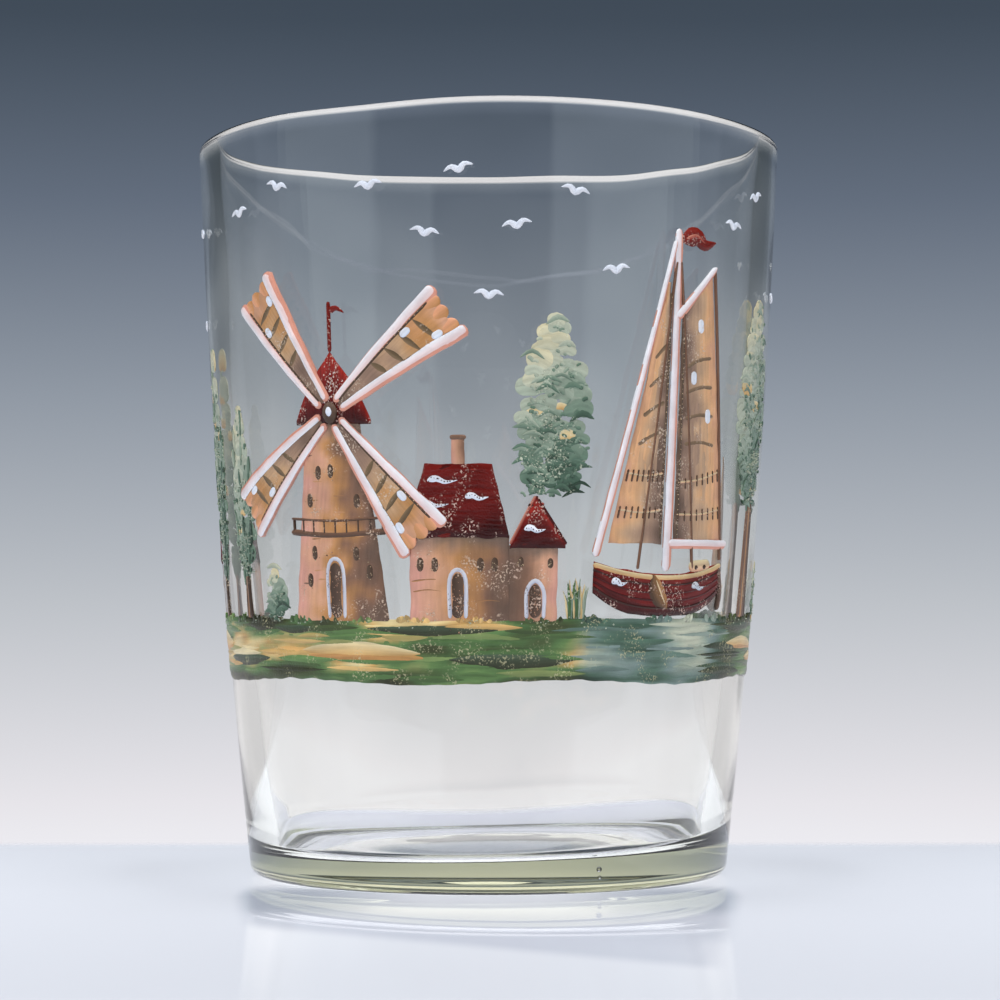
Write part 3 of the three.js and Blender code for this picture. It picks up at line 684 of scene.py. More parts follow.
# %% [markdown]
# The picture is planned flat, in millimetres: along the wall to the right of its middle, up from the
# table, and lift, which is how far the paint stands off the glass. A last step rolls it round the
# wall. The back of the paint sits a hair inside the glass, so there is no air between them.

# %% From the flat picture to the wall
PICTURE_RADIUS = 43
FIRST_COAT_BACK = -0.05
NEXT_COAT_BACK = -0.02


def wrap_round_glass(along, height, lift):
    turn = along / PICTURE_RADIUS
    radius = outer_radius(height) + lift
    return np.column_stack((radius * np.sin(turn), -radius * np.cos(turn), height)) * MM


def wander(along, height, size, seed):
    """Smooth noise from -1 to 1 over the flat picture, with features of about this size in mm."""
    return np.array([noise.noise(Vector((a / size, h / size, seed))) for a, h in zip(along, height)])


def mix_paint(stops, share):
    """Screen colours mixed along stops from 0 to 1."""
    shares = [stop[0] for stop in stops]
    channels = [np.interp(share, shares, [stop[1][channel] for stop in stops]) for channel in range(3)]
    return np.column_stack(channels)


def tint(stops, share):
    """One screen colour from stops."""
    return tuple(mix_paint(stops, share)[0])


def to_linear(colours):
    mixed = np.clip(np.asarray(colours) / 255, 0, 1)
    return np.where(mixed <= 0.04045, mixed / 12.92, ((mixed + 0.055) / 1.055) ** 2.4)


# %% A blank of enamel
blanks = {}


def model_blank(long_cells, wide_cells):
    """A flat closed slab, 1 long, 1 wide and 1 thick, with faces enough to be shaped."""
    bpy.ops.mesh.primitive_grid_add(
        x_subdivisions=long_cells, y_subdivisions=wide_cells, size=1, location=(0.5, 0.5, 0)
    )
    blank = bpy.context.object
    bpy.ops.object.transform_apply(location=True)
    bpy.ops.object.mode_set(mode="EDIT")
    bpy.ops.mesh.select_all(action="SELECT")
    bpy.ops.mesh.extrude_region_move(TRANSFORM_OT_translate={"value": (0, 0, 1)})
    bpy.ops.mesh.select_all(action="SELECT")
    bpy.ops.mesh.normals_make_consistent(inside=False)
    bpy.ops.object.mode_set(mode="OBJECT")
    blank.data.uv_layers[0].name = "brush"
    blank.data.color_attributes.new(name="paint", type="FLOAT_COLOR", domain="POINT")
    return blank


def new_blank(long_cells, wide_cells):
    """A copy of the blank with this many cells, with its own mesh."""
    cells = (long_cells, wide_cells)
    if cells not in blanks:
        model = model_blank(*cells)
        blanks[cells] = model.data
        bpy.data.objects.remove(model)
    piece = bpy.data.objects.new("paint", blanks[cells].copy())
    bpy.context.collection.objects.link(piece)
    return piece


def blank_shares(piece):
    """Where each vertex is on its blank: along it, across it, and on its back or its front."""
    shares = np.empty(len(piece.data.vertices) * 3)
    piece.data.vertices.foreach_get("co", shares)
    return shares.reshape(-1, 3).T


def crowd_to_ends(share):
    return 0.5 - 0.5 * np.cos(np.pi * share)


def lay_paint(piece, along, height, lift, colour, brush):
    """Moves the vertices of a blank on to the wall, and gives them their colour and brush map."""
    mesh = piece.data
    mesh.vertices.foreach_set("co", wrap_round_glass(along, height, lift).ravel())
    paint = np.ones((len(along), 4))
    paint[:, :3] = colour
    mesh.color_attributes["paint"].data.foreach_set("color", paint.ravel())
    corners = np.empty(len(mesh.loops), dtype=np.int32)
    mesh.loops.foreach_get("vertex_index", corners)
    mesh.uv_layers["brush"].data.foreach_set("uv", (brush[corners] * BRUSH_UV).ravel())
    mesh.update()
    return piece


# %% [markdown]
# A patch fills the strip between two edges. It is crowned, so its middle is thick and its edge thin,
# with a small bead where wet paint gathers just inside the edge, and its outline wanders a little,
# as a hand does.

# %% Patches
CROWN_RUN = 0.3
BEAD_IN, BEAD_WIDTH, BEAD_THICK = 0.35, 0.18, 0.16
LUMPY = 0.12
HAND_WANDER = 2.6
MOST_LONG, MOST_WIDE = 260, 70
EAVES_SHADOW = (110, 94, 84)
DARKEST = 0.8
MOTTLED = 0.14


def point_on_edge(edge, share):
    stations = np.linspace(0, 1, len(edge))
    return (np.interp(share, stations, [point[0] for point in edge]),
            np.interp(share, stations, [point[1] for point in edge]))


def edge_length(edge):
    return sum(math.dist(a, b) for a, b in zip(edge, edge[1:]))


def patch(first, second, stops, thick=0.25, lift=0.0, cell=0.7, wobble=0.2, grain="long", uneven=0.12,
          seed=1, back=FIRST_COAT_BACK, shadow=0):
    """Enamel between two edges of the flat picture, its colours running from the first to the second.

    The stops may also be a function that gives the colour at each place. A shadow, in mm, darkens the
    far end of both edges, as under the eaves of a house.
    """
    length = max(edge_length(first), edge_length(second))
    samples = np.linspace(0, 1, 9)
    low, high = point_on_edge(first, samples), point_on_edge(second, samples)
    width = float(np.hypot(high[0] - low[0], high[1] - low[1]).max())
    piece = new_blank(*(min(most, max(4, math.ceil(size / cell)))
                        for size, most in ((length, MOST_LONG), (width, MOST_WIDE))))
    long_share, wide_share, front = blank_shares(piece)
    long_share, wide_share = crowd_to_ends(long_share), crowd_to_ends(wide_share)
    from_along, from_height = point_on_edge(first, long_share)
    to_along, to_height = point_on_edge(second, long_share)
    along = from_along + (to_along - from_along) * wide_share
    height = from_height + (to_height - from_height) * wide_share
    here = np.hypot(to_along - from_along, to_height - from_height)
    to_edge = np.minimum(np.minimum(long_share, 1 - long_share) * length,
                         np.minimum(wide_share, 1 - wide_share) * here)
    crown = 1 - np.exp(-to_edge / CROWN_RUN)
    bead = BEAD_THICK * np.exp(-(((to_edge - BEAD_IN) / BEAD_WIDTH) ** 2))
    lumps = LUMPY * wander(along, height, 1.5, seed + 9)
    level = np.where(front > 0.5, lift + thick * (crown * (1 + lumps) + bead), back)
    if callable(stops):
        shades = stops(along, height)
    else:
        mixing = wide_share + uneven * wander(along, height, 3, seed + 4) * 2
        shades = mix_paint(stops, np.clip(mixing, 0, 1))
    if shadow:
        down = (1 - long_share) * length + 0.8 * wander(along, height, 1.6, seed + 5)
        dark = DARKEST * np.clip(1.3 - down / shadow, 0, 1)[:, None]
        shades = shades * (1 - dark) + np.array(EAVES_SHADOW) * dark
    colour = to_linear(shades) * (1 + MOTTLED * wander(along, height, 5, seed + 7))[:, None]
    run, side = long_share * length, wide_share * here
    brush = np.column_stack((run, side) if grain == "long" else (side, run))
    shift_along = wobble * wander(along, height, HAND_WANDER, seed + 2)
    shift_up = wobble * wander(along, height, HAND_WANDER, seed + 3)
    return lay_paint(piece, along + shift_along, height + shift_up, level, colour, brush + seed * 3.7)


# %% [markdown]
# A mark is one touch of the brush: a domed strip along a curve. A loaded brush holds two colours, so a
# mark has one colour on each side. Marks are all copies of a few blanks, bent along their own curves.

# %% Brush marks
LONG_MARK = 8
SHAKE, SHAKE_SIZE = 0.2, 3.2
PINCHED = 0.1
DOME_POWER = 2.5
SPREAD_BACKS = 0.012
SMOOTH_ANGLE = math.radians(50)


def curve_through(points, share):
    """Places on one smooth curve through the points."""
    points = np.array(points, float)
    if len(points) == 2:
        return points[0] + (points[1] - points[0]) * share[:, None]
    ends = np.vstack((2 * points[0] - points[1], points, 2 * points[-1] - points[-2]))
    place = share * (len(points) - 1)
    index = np.minimum(place.astype(int), len(points) - 2)
    part = (place - index)[:, None]
    before, here, ahead, beyond = (ends[index + offset] for offset in range(4))
    return 0.5 * (2 * here + (ahead - before) * part
                  + (2 * before - 5 * here + 4 * ahead - beyond) * part ** 2
                  + (3 * here - before - 3 * ahead + beyond) * part ** 3)


def mark_width(shape, share, stubby):
    """How wide a mark is along its length, from 0 to 1."""
    if shape == "leaf":
        swell = np.sin(np.pi * share) ** 0.7
    elif shape == "comma":
        swell = np.sqrt(np.clip(share / 0.2, 0, 1)) * np.clip((1 - share) / 0.8, 0, 1) ** 0.6
    else:
        end = min(0.5, 0.5 * stubby)
        into_end = np.clip((end - np.minimum(share, 1 - share)) / end, 0, 1)
        swell = np.sqrt(1 - into_end ** 2)
    return np.maximum(swell, PINCHED)


def mark(path, width, below, above, shape="bar", lift=0.15, thick=0.2, cells=(6, 3), seed=0,
         back=NEXT_COAT_BACK, flare=1.0):
    """One brush mark, coloured from below, the side to the right of its path, to above."""
    piece = new_blank(*cells)
    long_share, wide_share, front = blank_shares(piece)
    long_share = crowd_to_ends(long_share)
    across = 2 * wide_share - 1
    middle = curve_through(path, long_share)
    ahead = (curve_through(path, np.minimum(long_share + 0.01, 1))
             - curve_through(path, np.maximum(long_share - 0.01, 0)))
    ahead /= np.maximum(np.linalg.norm(ahead, axis=1), 1e-6)[:, None]
    length = edge_length(path)
    swell = mark_width(shape, long_share, width / length) * (1 + (flare - 1) * long_share)
    half = width / 2 * swell
    if length > LONG_MARK:
        shaken = wander(middle[:, 0] + 9 * across.round(), middle[:, 1], SHAKE_SIZE, seed)
        half = half * (1 + SHAKE * shaken)
    along = middle[:, 0] - ahead[:, 1] * across * half
    height = middle[:, 1] + ahead[:, 0] * across * half
    dome = np.sqrt(np.maximum(0, 1 - np.abs(across) ** DOME_POWER)) * np.sqrt(np.minimum(swell, 1))
    sunk = back - SPREAD_BACKS * ((seed * 0.618) % 1)
    level = np.where(front > 0.5, lift + thick * dome, sunk)
    colour = to_linear(mix_paint([(0, below), (1, above)], wide_share))
    brush = np.column_stack((long_share * length, across * half))
    return lay_paint(piece, along, height, level, colour, brush + seed * 1.7)


# %% Join the marks of one motif
def dress(node, pieces, replaces=True, name=None, slot=None):
    """Joins patches and marks into one piece of enamel that stands for a CAD node."""
    bpy.ops.object.select_all(action="DESELECT")
    for piece in pieces:
        piece.select_set(True)
    bpy.context.view_layer.objects.active = pieces[0]
    if len(pieces) > 1:
        bpy.ops.object.join()
    joined = bpy.context.view_layer.objects.active
    joined.name = name or f"{node}_paint"
    bpy.ops.object.shade_smooth_by_angle(angle=SMOOTH_ANGLE)
    slot = slot or slot_of[node]
    joined.data.materials.clear()
    joined.data.materials.append(enamels[slot])
    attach(joined, "root")
    if replaces:
        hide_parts(node)
    print(joined.name, len(pieces), "marks,", len(joined.data.polygons), "faces")
    return joined


# %% The painter's palette
PINK = (202, 148, 132)
PALE_PINK = (222, 192, 188)
SALMON = (206, 142, 122)
PEACH = (198, 150, 120)
OCHRE = (178, 128, 78)
GOLD = (194, 152, 92)
BROWN = (126, 94, 76)
GREY_BROWN = (100, 80, 68)
DARK_BROWN = (64, 48, 38)
RED = (90, 16, 12)
DARK_RED = (50, 9, 8)
BRIGHT_RED = (128, 34, 24)
CREAM = (214, 200, 160)
PALE_LEAF = (180, 184, 164)
MINT = (148, 160, 144)
SEA_GREEN = (108, 130, 112)
BLUE_GREEN = (76, 102, 86)
DEEP_GREEN = (40, 58, 46)
GRASS = (94, 124, 74)
DARK_OLIVE = (50, 52, 36)
WATER = (118, 136, 132)
WHITE = (224, 226, 232)
COLD_WHITE = (200, 208, 222)


# %% Dots
def scatter(centre, reach, count, seed):
    """Places that crowd round a centre."""
    rng = random.Random(seed)
    return [(rng.gauss(centre[0], reach[0]), rng.gauss(centre[1], reach[1])) for place in range(count)]


def paint_dots(places, seed, shades, size, lift):
    """Small touches with the tip of the brush."""
    rng = random.Random(seed)
    pieces = []
    for index, (along, height) in enumerate(places):
        reach = size * rng.uniform(0.3, 1.1)
        turn = rng.uniform(0, math.pi)
        end = (along + reach * math.cos(turn), height + reach * math.sin(turn))
        pieces.append(mark([(along, height), end], size * rng.uniform(0.6, 1.1), *shades, lift=lift,
                           thick=0.07, cells=(4, 3), seed=seed + index))
    return pieces


# %% [markdown]
# The bank and the river run all along under the picture, brushed sideways, wet in wet: cream and
# ochre where the light falls, greens, and a dark line under all. Under the boats it is water. The
# colours lie in long low zones that run into each other, and each stroke takes the colour of its zone.

# %% Bank and river
BANK_START, BANK_END = -83, 89
BANK_BOTTOM = 30.8
BANK_FADE = 6
BANK_STEPS, BANK_ROWS = 80, 9
FOOT_TALL = 2.4
RIVER_REACHES = ((14.5, 44.5), (70.5, 84.5))
SHORE = 3
LAND_STOPS = [(0, DARK_OLIVE), (0.2, (66, 74, 46)), (0.36, (74, 102, 62)), (0.52, GRASS),
              (0.63, (144, 148, 96)), (0.74, GOLD), (0.87, (210, 188, 134)), (1, CREAM)]
RIVER_STOPS = [(0, DEEP_GREEN), (0.35, BLUE_GREEN), (0.6, WATER), (0.8, MINT), (1, PALE_LEAF)]


def bank_bottom(along):
    taper = min(1, (0.6 * BANK_FADE + min(along - BANK_START, BANK_END - along)) / BANK_FADE)
    return BANK_TOP - (BANK_TOP - BANK_BOTTOM) * taper + 0.4 * math.sin(along / 7)


def bank_shades(along, height):
    """The screen colour of the bank at each place, in long low zones, dark along its foot."""
    zones = wander(along, height * 3, 14, 21)
    drifts = wander(along, height * 7, 6, 22)
    foot = np.clip(1 - (height - BANK_BOTTOM) / FOOT_TALL, 0, 1)
    tone = np.clip(0.52 + 0.95 * zones + 0.3 * drifts - 0.35 * foot, 0, 1)
    wet = np.zeros(len(along))
    for start, end in RIVER_REACHES:
        from_shore = np.minimum(along - start, end - along)
        wet = np.maximum(wet, np.clip(0.5 + from_shore / SHORE, 0, 1))
    wet = wet[:, None]
    return mix_paint(LAND_STOPS, tone) * (1 - wet) + mix_paint(RIVER_STOPS, tone) * wet


def paint_bank():
    rng = random.Random(11)
    steps = [BANK_START + (BANK_END - BANK_START) * step / BANK_STEPS for step in range(BANK_STEPS + 1)]
    lower = [(along, bank_bottom(along)) for along in steps]
    upper = [(along, BANK_TOP) for along in steps]
    pieces = [patch(lower, upper, bank_shades, thick=0.2, wobble=0.24, seed=3)]
    for row in range(BANK_ROWS):
        level = (row + 0.5) / BANK_ROWS
        along = BANK_START + 1 + rng.uniform(0, 5)
        while along < BANK_END - 3:
            length = rng.uniform(6, 17)
            middle = min(along + length / 2, BANK_END - 2)
            bottom = bank_bottom(middle)
            height = bottom + 0.9 + (BANK_TOP - 1.4 - bottom) * level + rng.uniform(-0.3, 0.3)
            end = min(along + length, BANK_END - 0.5)
            shade = bank_shades(np.array([middle]), np.array([height]))[0]
            below, above = shade * rng.uniform(0.86, 1), shade * rng.uniform(1, 1.12)
            sag = rng.uniform(-0.35, 0.35)
            path = [(along, height), ((along + end) / 2, height + sag),
                    (end, height + rng.uniform(-0.3, 0.3))]
            pieces.append(mark(path, rng.uniform(0.7, 1.5), below, above, shape="leaf", cells=(14, 3),
                               lift=rng.uniform(0.1, 0.2), thick=0.08, seed=len(pieces)))
            along = end - rng.uniform(0.5, 2)
    return pieces


bank_marks = paint_bank()

# %% Sand, shade and grass on the bank
SANDS = ((-63, 36.6, 17, 2.6), (-21, 35.4, 21, 2.2), (54, 36.2, 16, 1.6), (63, 34, 14, 1.4))
SHADES = ((-73, 38.4, 14, 1.6), (-48, 34, 16, 1.8), (-8, 38.6, 22, 1.5), (4, 34.2, 20, 2.2),
          (-33, 38.7, 10, 1.2), (52, 38.9, 16, 1.2))
for number, (along, height, length, width) in enumerate(SANDS):
    path = [(along - length / 2, height), (along, height + 0.2), (along + length / 2, height - 0.4)]
    under = [(x + 1, y - width * 0.32) for x, y in path]
    bank_marks.append(mark(under, width * 0.8, OCHRE, GOLD, shape="leaf", cells=(24, 5), lift=0.2,
                           thick=0.07, seed=number))
    bank_marks.append(mark(path, width, GOLD, CREAM, shape="leaf", cells=(24, 6), lift=0.23, thick=0.07,
                           seed=number + 5))
for number, (along, height, length, width) in enumerate(SHADES):
    path = [(along - length / 2, height), (along, height - 0.3), (along + length / 2, height + 0.1)]
    bank_marks.append(mark(path, width, DARK_OLIVE, (76, 92, 74), shape="leaf", cells=(24, 4), lift=0.2,
                           thick=0.07, seed=number))
for tuft in range(34):
    rng = random.Random(400 + tuft)
    along = BANK_START + 2 + (tuft + rng.random()) * (BANK_END - BANK_START - 4) / 34
    shade = bank_shades(np.array([along]), np.array([BANK_TOP - 1]))[0]
    for blade in range(5):
        foot = (along + rng.uniform(-1.6, 1.6), BANK_TOP - 0.6)
        tip = (foot[0] + rng.uniform(-0.7, 0.7), BANK_TOP + rng.uniform(0, 0.7))
        light = rng.uniform(0.8, 1.25)
        bank_marks.append(mark([foot, tip], rng.uniform(0.6, 1.3), shade * light * 0.85, shade * light,
                               shape="leaf", lift=0.14, thick=0.12, seed=tuft * 5 + blade))
    bank_marks += paint_dots(scatter((along, BANK_TOP - 0.6), (1.4, 0.4), 3, tuft), tuft, size=0.26,
                             shades=(MINT, PALE_LEAF), lift=0.28)
dress("river_bank", bank_marks)


# %% [markdown]
# A crown is built like a cloud: soft round lobes of thin paint first, palest at the top, then arched
# strokes pulled with the side of the brush, few and pale above, close and dark below. A few golden
# lobes show where autumn has come, and pale dots lie low down in the shade.

# %% Leaves
LARGEST_LOBE = 4.6
AUTUMN = 0.07
ROW_PITCH, LEAF_PITCH = 1.3, 0.85
STIPPLED = 0.72
DOTS_APART = 3
LEAF_STOPS = [(0, CREAM), (0.2, PALE_LEAF), (0.4, MINT), (0.58, SEA_GREEN), (0.78, BLUE_GREEN),
              (1, DEEP_GREEN)]


def crown_half_width(share, width, fullest):
    power = math.log(0.5) / math.log(fullest)
    return width / 2 * max(0, math.sin(math.pi * share ** power)) ** 0.65


def mound_half_width(share, width):
    return width / 2 * math.sqrt(max(0, 1 - share * share))


def paint_lobes(centre, bottom, height, half_width, rng):
    """Thin round lobes of many sizes that overlap like a cloud."""
    pieces = []
    widest = max(half_width(share / 10) for share in range(10))
    largest = min(LARGEST_LOBE, widest * 1.1)
    rows = max(4, round(height / largest * 3))
    for row in range(rows + 1):
        share = min(0.97, row / rows)
        half = half_width(share) * (0.72 + 0.28 * min(1, share / 0.3))
        spread = half * rng.uniform(0.78, 1.06)
        count = max(1, round(4 * spread / largest))
        for column in range(count):
            size = largest * rng.uniform(0.35, 0.9)
            across = (column + rng.uniform(0.3, 0.7)) / count * 2 - 1
            along = centre + max(0, spread - size * 0.3) * across * 1.15
            level = bottom + size * 0.3 + (height - size * 0.6) * share
            level += rng.uniform(-0.8, 0.8) * largest / 5
            tone = 0.1 + 0.6 * (1 - share) + 0.1 * across + rng.uniform(-0.1, 0.1)
            bend = size * rng.uniform(0.08, 0.3)
            path = [(along - size / 2, level - bend), (along, level),
                    (along + size / 2, level - bend * 1.2)]
            shades = tint(LEAF_STOPS, tone + 0.06), tint(LEAF_STOPS, tone - 0.04)
            if rng.random() < AUTUMN:
                shades = GOLD, CREAM
            pieces.append(mark(path, size * rng.uniform(0.55, 0.9), *shades, lift=rng.uniform(0.02, 0.1),
                               thick=0.05, cells=(10, 6), seed=len(pieces), back=FIRST_COAT_BACK))
    return pieces


def paint_leaves(centre, bottom, height, half_width, seed, upright=False):
    """A crown whose half width is known at each share of its height."""
    rng = random.Random(seed)
    pieces = paint_lobes(centre, bottom, height, half_width, rng)
    rows = round(height / ROW_PITCH)
    for row in range(rows, -1, -1):
        share = row / rows
        half = half_width(min(share, 0.985)) * (0.75 + 0.2 * min(1, share / 0.3))
        count = max(1, round(2 * half / LEAF_PITCH))
        for column in range(count):
            if rng.random() < 0.75 * share ** 1.3:
                continue
            across = ((column + 0.5) / count * 2 - 1) * 0.86 + rng.uniform(-0.2, 0.2)
            along = centre + half * across
            level = bottom + height * share + rng.uniform(-0.8, 0.8)
            tone = 0.26 + 0.2 * (across + 1) / 2 + 0.46 * (1 - share) + rng.uniform(-0.2, 0.2)
            below, above = tint(LEAF_STOPS, tone + 0.1), tint(LEAF_STOPS, tone - 0.08)
            stippled = rng.random() < STIPPLED
            size, width = rng.uniform(2.2, 3.8), rng.uniform(0.5, 0.95)
            if stippled:
                size, width = rng.uniform(0.35, 0.9), rng.uniform(0.3, 0.6)
            drop = size * 0.24 * rng.uniform(0.6, 1.4)
            if upright:
                lean = 0.5 * across + rng.uniform(-0.25, 0.25)
                path = [(along, level - size / 2), (along + lean * 0.7, level),
                        (along + lean, level + size / 2)]
            else:
                tilt = -0.2 * across + rng.uniform(-0.25, 0.25)
                path = [(along - size / 2, level - drop + tilt), (along, level),
                        (along + size / 2, level - drop - tilt)]
            pieces.append(mark(path, width, below, above, shape="bar" if stippled else "leaf",
                               lift=rng.uniform(0.1, 0.22), thick=0.07, cells=(8, 3), seed=len(pieces)))
    for group in range(max(2, round(height / DOTS_APART))):
        share = rng.uniform(0.02, 0.55)
        spot = (centre + half_width(share) * rng.uniform(-0.6, 0.6), bottom + height * share)
        pieces += paint_dots(scatter(spot, (0.9, 0.7), 8, seed * 50 + group), group, size=0.26, lift=0.34,
                             shades=(MINT, PALE_LEAF))
    return pieces


BARK = ((DARK_BROWN, BROWN), (BROWN, OCHRE), (DARK_BROWN, BROWN), (DARK_BROWN, DARK_BROWN))


def paint_trunk(foot, top, width, seed):
    rng = random.Random(seed)
    pieces = []
    for strip, shades in enumerate(BARK):
        offset = width * (strip / 3 - 0.5) * 0.7
        bow = (foot[0] + top[0]) / 2 + offset + rng.uniform(-0.2, 0.2)
        path = [(foot[0] + offset * 1.5, foot[1]), (bow, (foot[1] + top[1]) / 2),
                (top[0] + offset * 0.7, top[1])]
        pieces.append(mark(path, width * 0.55, *shades, lift=0.03 + 0.03 * strip, thick=0.18, cells=(10, 3),
                           seed=seed + strip, back=FIRST_COAT_BACK))
    return pieces


# %% Poplars
GROUND = BANK_TOP + 0.3
POPLARS = (("far_poplar", -57, 8, 81.3), ("near_poplar", -45.5, 7, 72.3))
POPLAR_TRUNK = 5
for index, (name, centre, width, top) in enumerate(POPLARS):
    trunk_top = GROUND + POPLAR_TRUNK
    dress(f"{name}_trunk", paint_trunk((centre, GROUND - 0.3), (centre, trunk_top + 1), 1.4, index))
    crown_bottom = trunk_top + 0.3
    crown = paint_leaves(centre, crown_bottom, top - crown_bottom, lambda share: crown_half_width(
        share, width, 0.36), seed=30 + index, upright=True)
    dress(f"{name}_crown", crown)

# %% Oak
OAK, OAK_TRUNK_TOP, OAK_TOP = 52, 55.3, 89.3
dress("oak_trunk", paint_trunk((OAK, GROUND - 0.3), (OAK + 0.4, OAK_TRUNK_TOP + 2), 2.6, 7))
oak_crown = paint_leaves(OAK, OAK_TRUNK_TOP + 0.3, OAK_TOP - OAK_TRUNK_TOP - 0.3,
                         lambda share: crown_half_width(share, 14, 0.42), seed=41)
dress("oak_crown", oak_crown)

# %% Lime tree, bushes and reeds
MOUNDS = (("lime_tree_crown", 9.4, 58.5, 84.3, 12), ("mill_bush", -37.4, GROUND, GROUND + 7.5, 6),
          ("hedge", 65.5, GROUND, GROUND + 9.5, 7))
for index, (name, centre, bottom, top, width) in enumerate(MOUNDS):
    crown = paint_leaves(centre, bottom, top - bottom - 0.5, lambda share: mound_half_width(share, width),
                         seed=50 + index)
    dress(name, crown)

REEDS, REED_COUNT = 13.3, 26
REED_SHADES = ((SEA_GREEN, PALE_LEAF), (BLUE_GREEN, MINT), (DEEP_GREEN, GRASS), (GOLD, CREAM))
reeds = []
rng = random.Random(61)
for blade in range(REED_COUNT):
    foot = REEDS + rng.uniform(-1.3, 1.3)
    tall = rng.uniform(2.6, 5.8)
    lean = rng.uniform(-0.9, 0.9)
    path = [(foot, GROUND - 0.3), (foot + lean * 0.3, GROUND + tall * 0.6), (foot + lean, GROUND + tall)]
    shades = rng.choice(REED_SHADES)
    reeds.append(mark(path, rng.uniform(0.4, 0.65), *shades, shape="comma", thick=0.16,
                      lift=rng.uniform(0.02, 0.2), seed=blade))
dress("river_reeds", reeds)


# %% [markdown]
# Houses are smooth washes of pink, ochre and grey brown pulled downwards, darker under the eaves,
# with dark windows dotted with light, and roofs in thick red with lighter strokes and a few long
# white lights through which the red shows.

# %% Windows, doors and roofs
def paint_window(along, height, width, tall, seed):
    foot, top = (along, height - tall / 2), (along, height + tall / 2)
    return [mark([foot, top], width * 1.2, BROWN, PEACH, lift=0.18, thick=0.08, cells=(8, 4), seed=seed),
            mark([foot, top], width, DARK_BROWN, (96, 78, 64), lift=0.2, thick=0.1, cells=(8, 4),
                 seed=seed + 1),
            *paint_dots(scatter((along, height - tall * 0.15), (width * 0.26, tall * 0.24), 7, seed), seed,
                        shades=(BROWN, CREAM), size=0.22, lift=0.27)]


def paint_door(along, foot, width, tall, seed):
    top = foot + tall
    arch = [(along - width / 2, foot), (along - width / 2, top - width * 0.6), (along, top),
            (along + width / 2, top - width * 0.6), (along + width / 2, foot)]
    pits = scatter((along - width / 2, foot + tall * 0.45), (0.08, tall * 0.24), 12, seed)
    return [mark([(along, foot), (along, top - width * 0.2)], width, GREY_BROWN, DARK_BROWN, lift=0.2,
                 thick=0.1, cells=(12, 4), seed=seed),
            *paint_dots(scatter((along, foot + tall * 0.45), (width * 0.2, tall * 0.26), 26, seed), seed,
                        shades=(BROWN, PEACH), size=0.26, lift=0.27),
            mark(arch, 0.62, (178, 180, 194), (206, 208, 216), lift=0.24, thick=0.16, cells=(24, 4),
                 seed=seed + 1),
            *paint_dots(pits, seed, shades=(GREY_BROWN, DARK_BROWN), size=0.2, lift=0.36)]


ROOF_SHADES = ((DARK_RED, RED), (RED, BRIGHT_RED), (RED, (160, 66, 52)), (DARK_RED, DARK_RED))
LIGHT_WIDTH = 1.05
PITS_PER_MM = 2.2


def paint_roof_strokes(first, second, rows, seed):
    """Long wavering strokes between the eaves, which is the first edge, and the ridge."""
    rng = random.Random(seed)
    pieces = []
    for row in range(rows):
        share = (row + 0.5) / rows
        start, end = [tuple(a + (b - a) * share for a, b in zip(first[corner], second[corner]))
                      for corner in (0, -1)]
        place = rng.uniform(0.02, 0.15)
        while place < 0.85:
            stop = min(0.98, place + rng.uniform(0.22, 0.5))
            path = []
            for part in (0, 0.33, 0.66, 1):
                reach = place + (stop - place) * part
                path.append((start[0] + (end[0] - start[0]) * reach, start[1] + rng.uniform(-0.3, 0.3)))
            shades = rng.choice(ROOF_SHADES)
            pieces.append(mark(path, rng.uniform(0.45, 1.0), *shades, shape="leaf", lift=0.3, thick=0.1,
                               cells=(14, 3), seed=seed + len(pieces)))
            place = stop + rng.uniform(-0.08, 0.12)
    return pieces


def paint_lights(places, seed):
    """Long wavering white lights on a roof, with pits that show what is below."""
    rng = random.Random(seed)
    pieces = []
    for index, (along, height, length) in enumerate(places):
        path = [(along, height), (along + length * 0.3, height + 0.3), (along + length * 0.6, height - 0.2),
                (along + length, height + 0.05)]
        pieces.append(mark(path, LIGHT_WIDTH, COLD_WHITE, WHITE, shape="comma", lift=0.4, thick=0.14,
                           cells=(16, 4), seed=seed + index))
        pits = []
        for pit in range(round(length * PITS_PER_MM)):
            share = (pit + 0.8) / (length * PITS_PER_MM + 1)
            middle = curve_through(path, np.array([share]))[0]
            pits.append((middle[0], middle[1] + (1 - share) * rng.uniform(-0.32, 0.28)))
        pieces += paint_dots(pits, seed + index, shades=(DARK_RED, DARK_BROWN), size=0.24, lift=0.52)
    return pieces


def block(centre, bottom, height, bottom_width, top_width):
    left = [(centre - bottom_width / 2, bottom), (centre - top_width / 2, bottom + height)]
    right = [(centre + bottom_width / 2, bottom), (centre + top_width / 2, bottom + height)]
    return left, right


WALL_STOPS = [(0, PINK), (0.3, PEACH), (0.52, OCHRE), (0.78, BROWN), (1, GREY_BROWN)]
ROOF_STOPS = [(0, DARK_RED), (0.4, RED), (1, (102, 24, 20))]
FOOTING, DOORSTEP = GROUND - 0.8, GROUND - 0.2
ROOF_LIFT = 0.14


def paint_wall(centre, height, widths, stops, seed, windows, size, door, **look):
    """A wall with its windows, each a place and a seed, and its door."""
    pieces = [patch(*block(centre, FOOTING, height, *widths), stops, seed=seed, **look)]
    for along, level, window_seed in windows:
        pieces += paint_window(along, level, *size, window_seed)
    along, width, tall, door_seed = door
    return pieces + paint_door(along, DOORSTEP, width, tall, door_seed)


def paint_roof(eaves, ridge, stops, seed, rows, strokes_seed, lights, lights_seed, strokes_to=None):
    pieces = [patch(eaves, ridge, stops, thick=0.28, lift=ROOF_LIFT, seed=seed)]
    pieces += paint_roof_strokes(eaves, strokes_to or ridge, rows, strokes_seed)
    return pieces + paint_lights(lights, lights_seed)


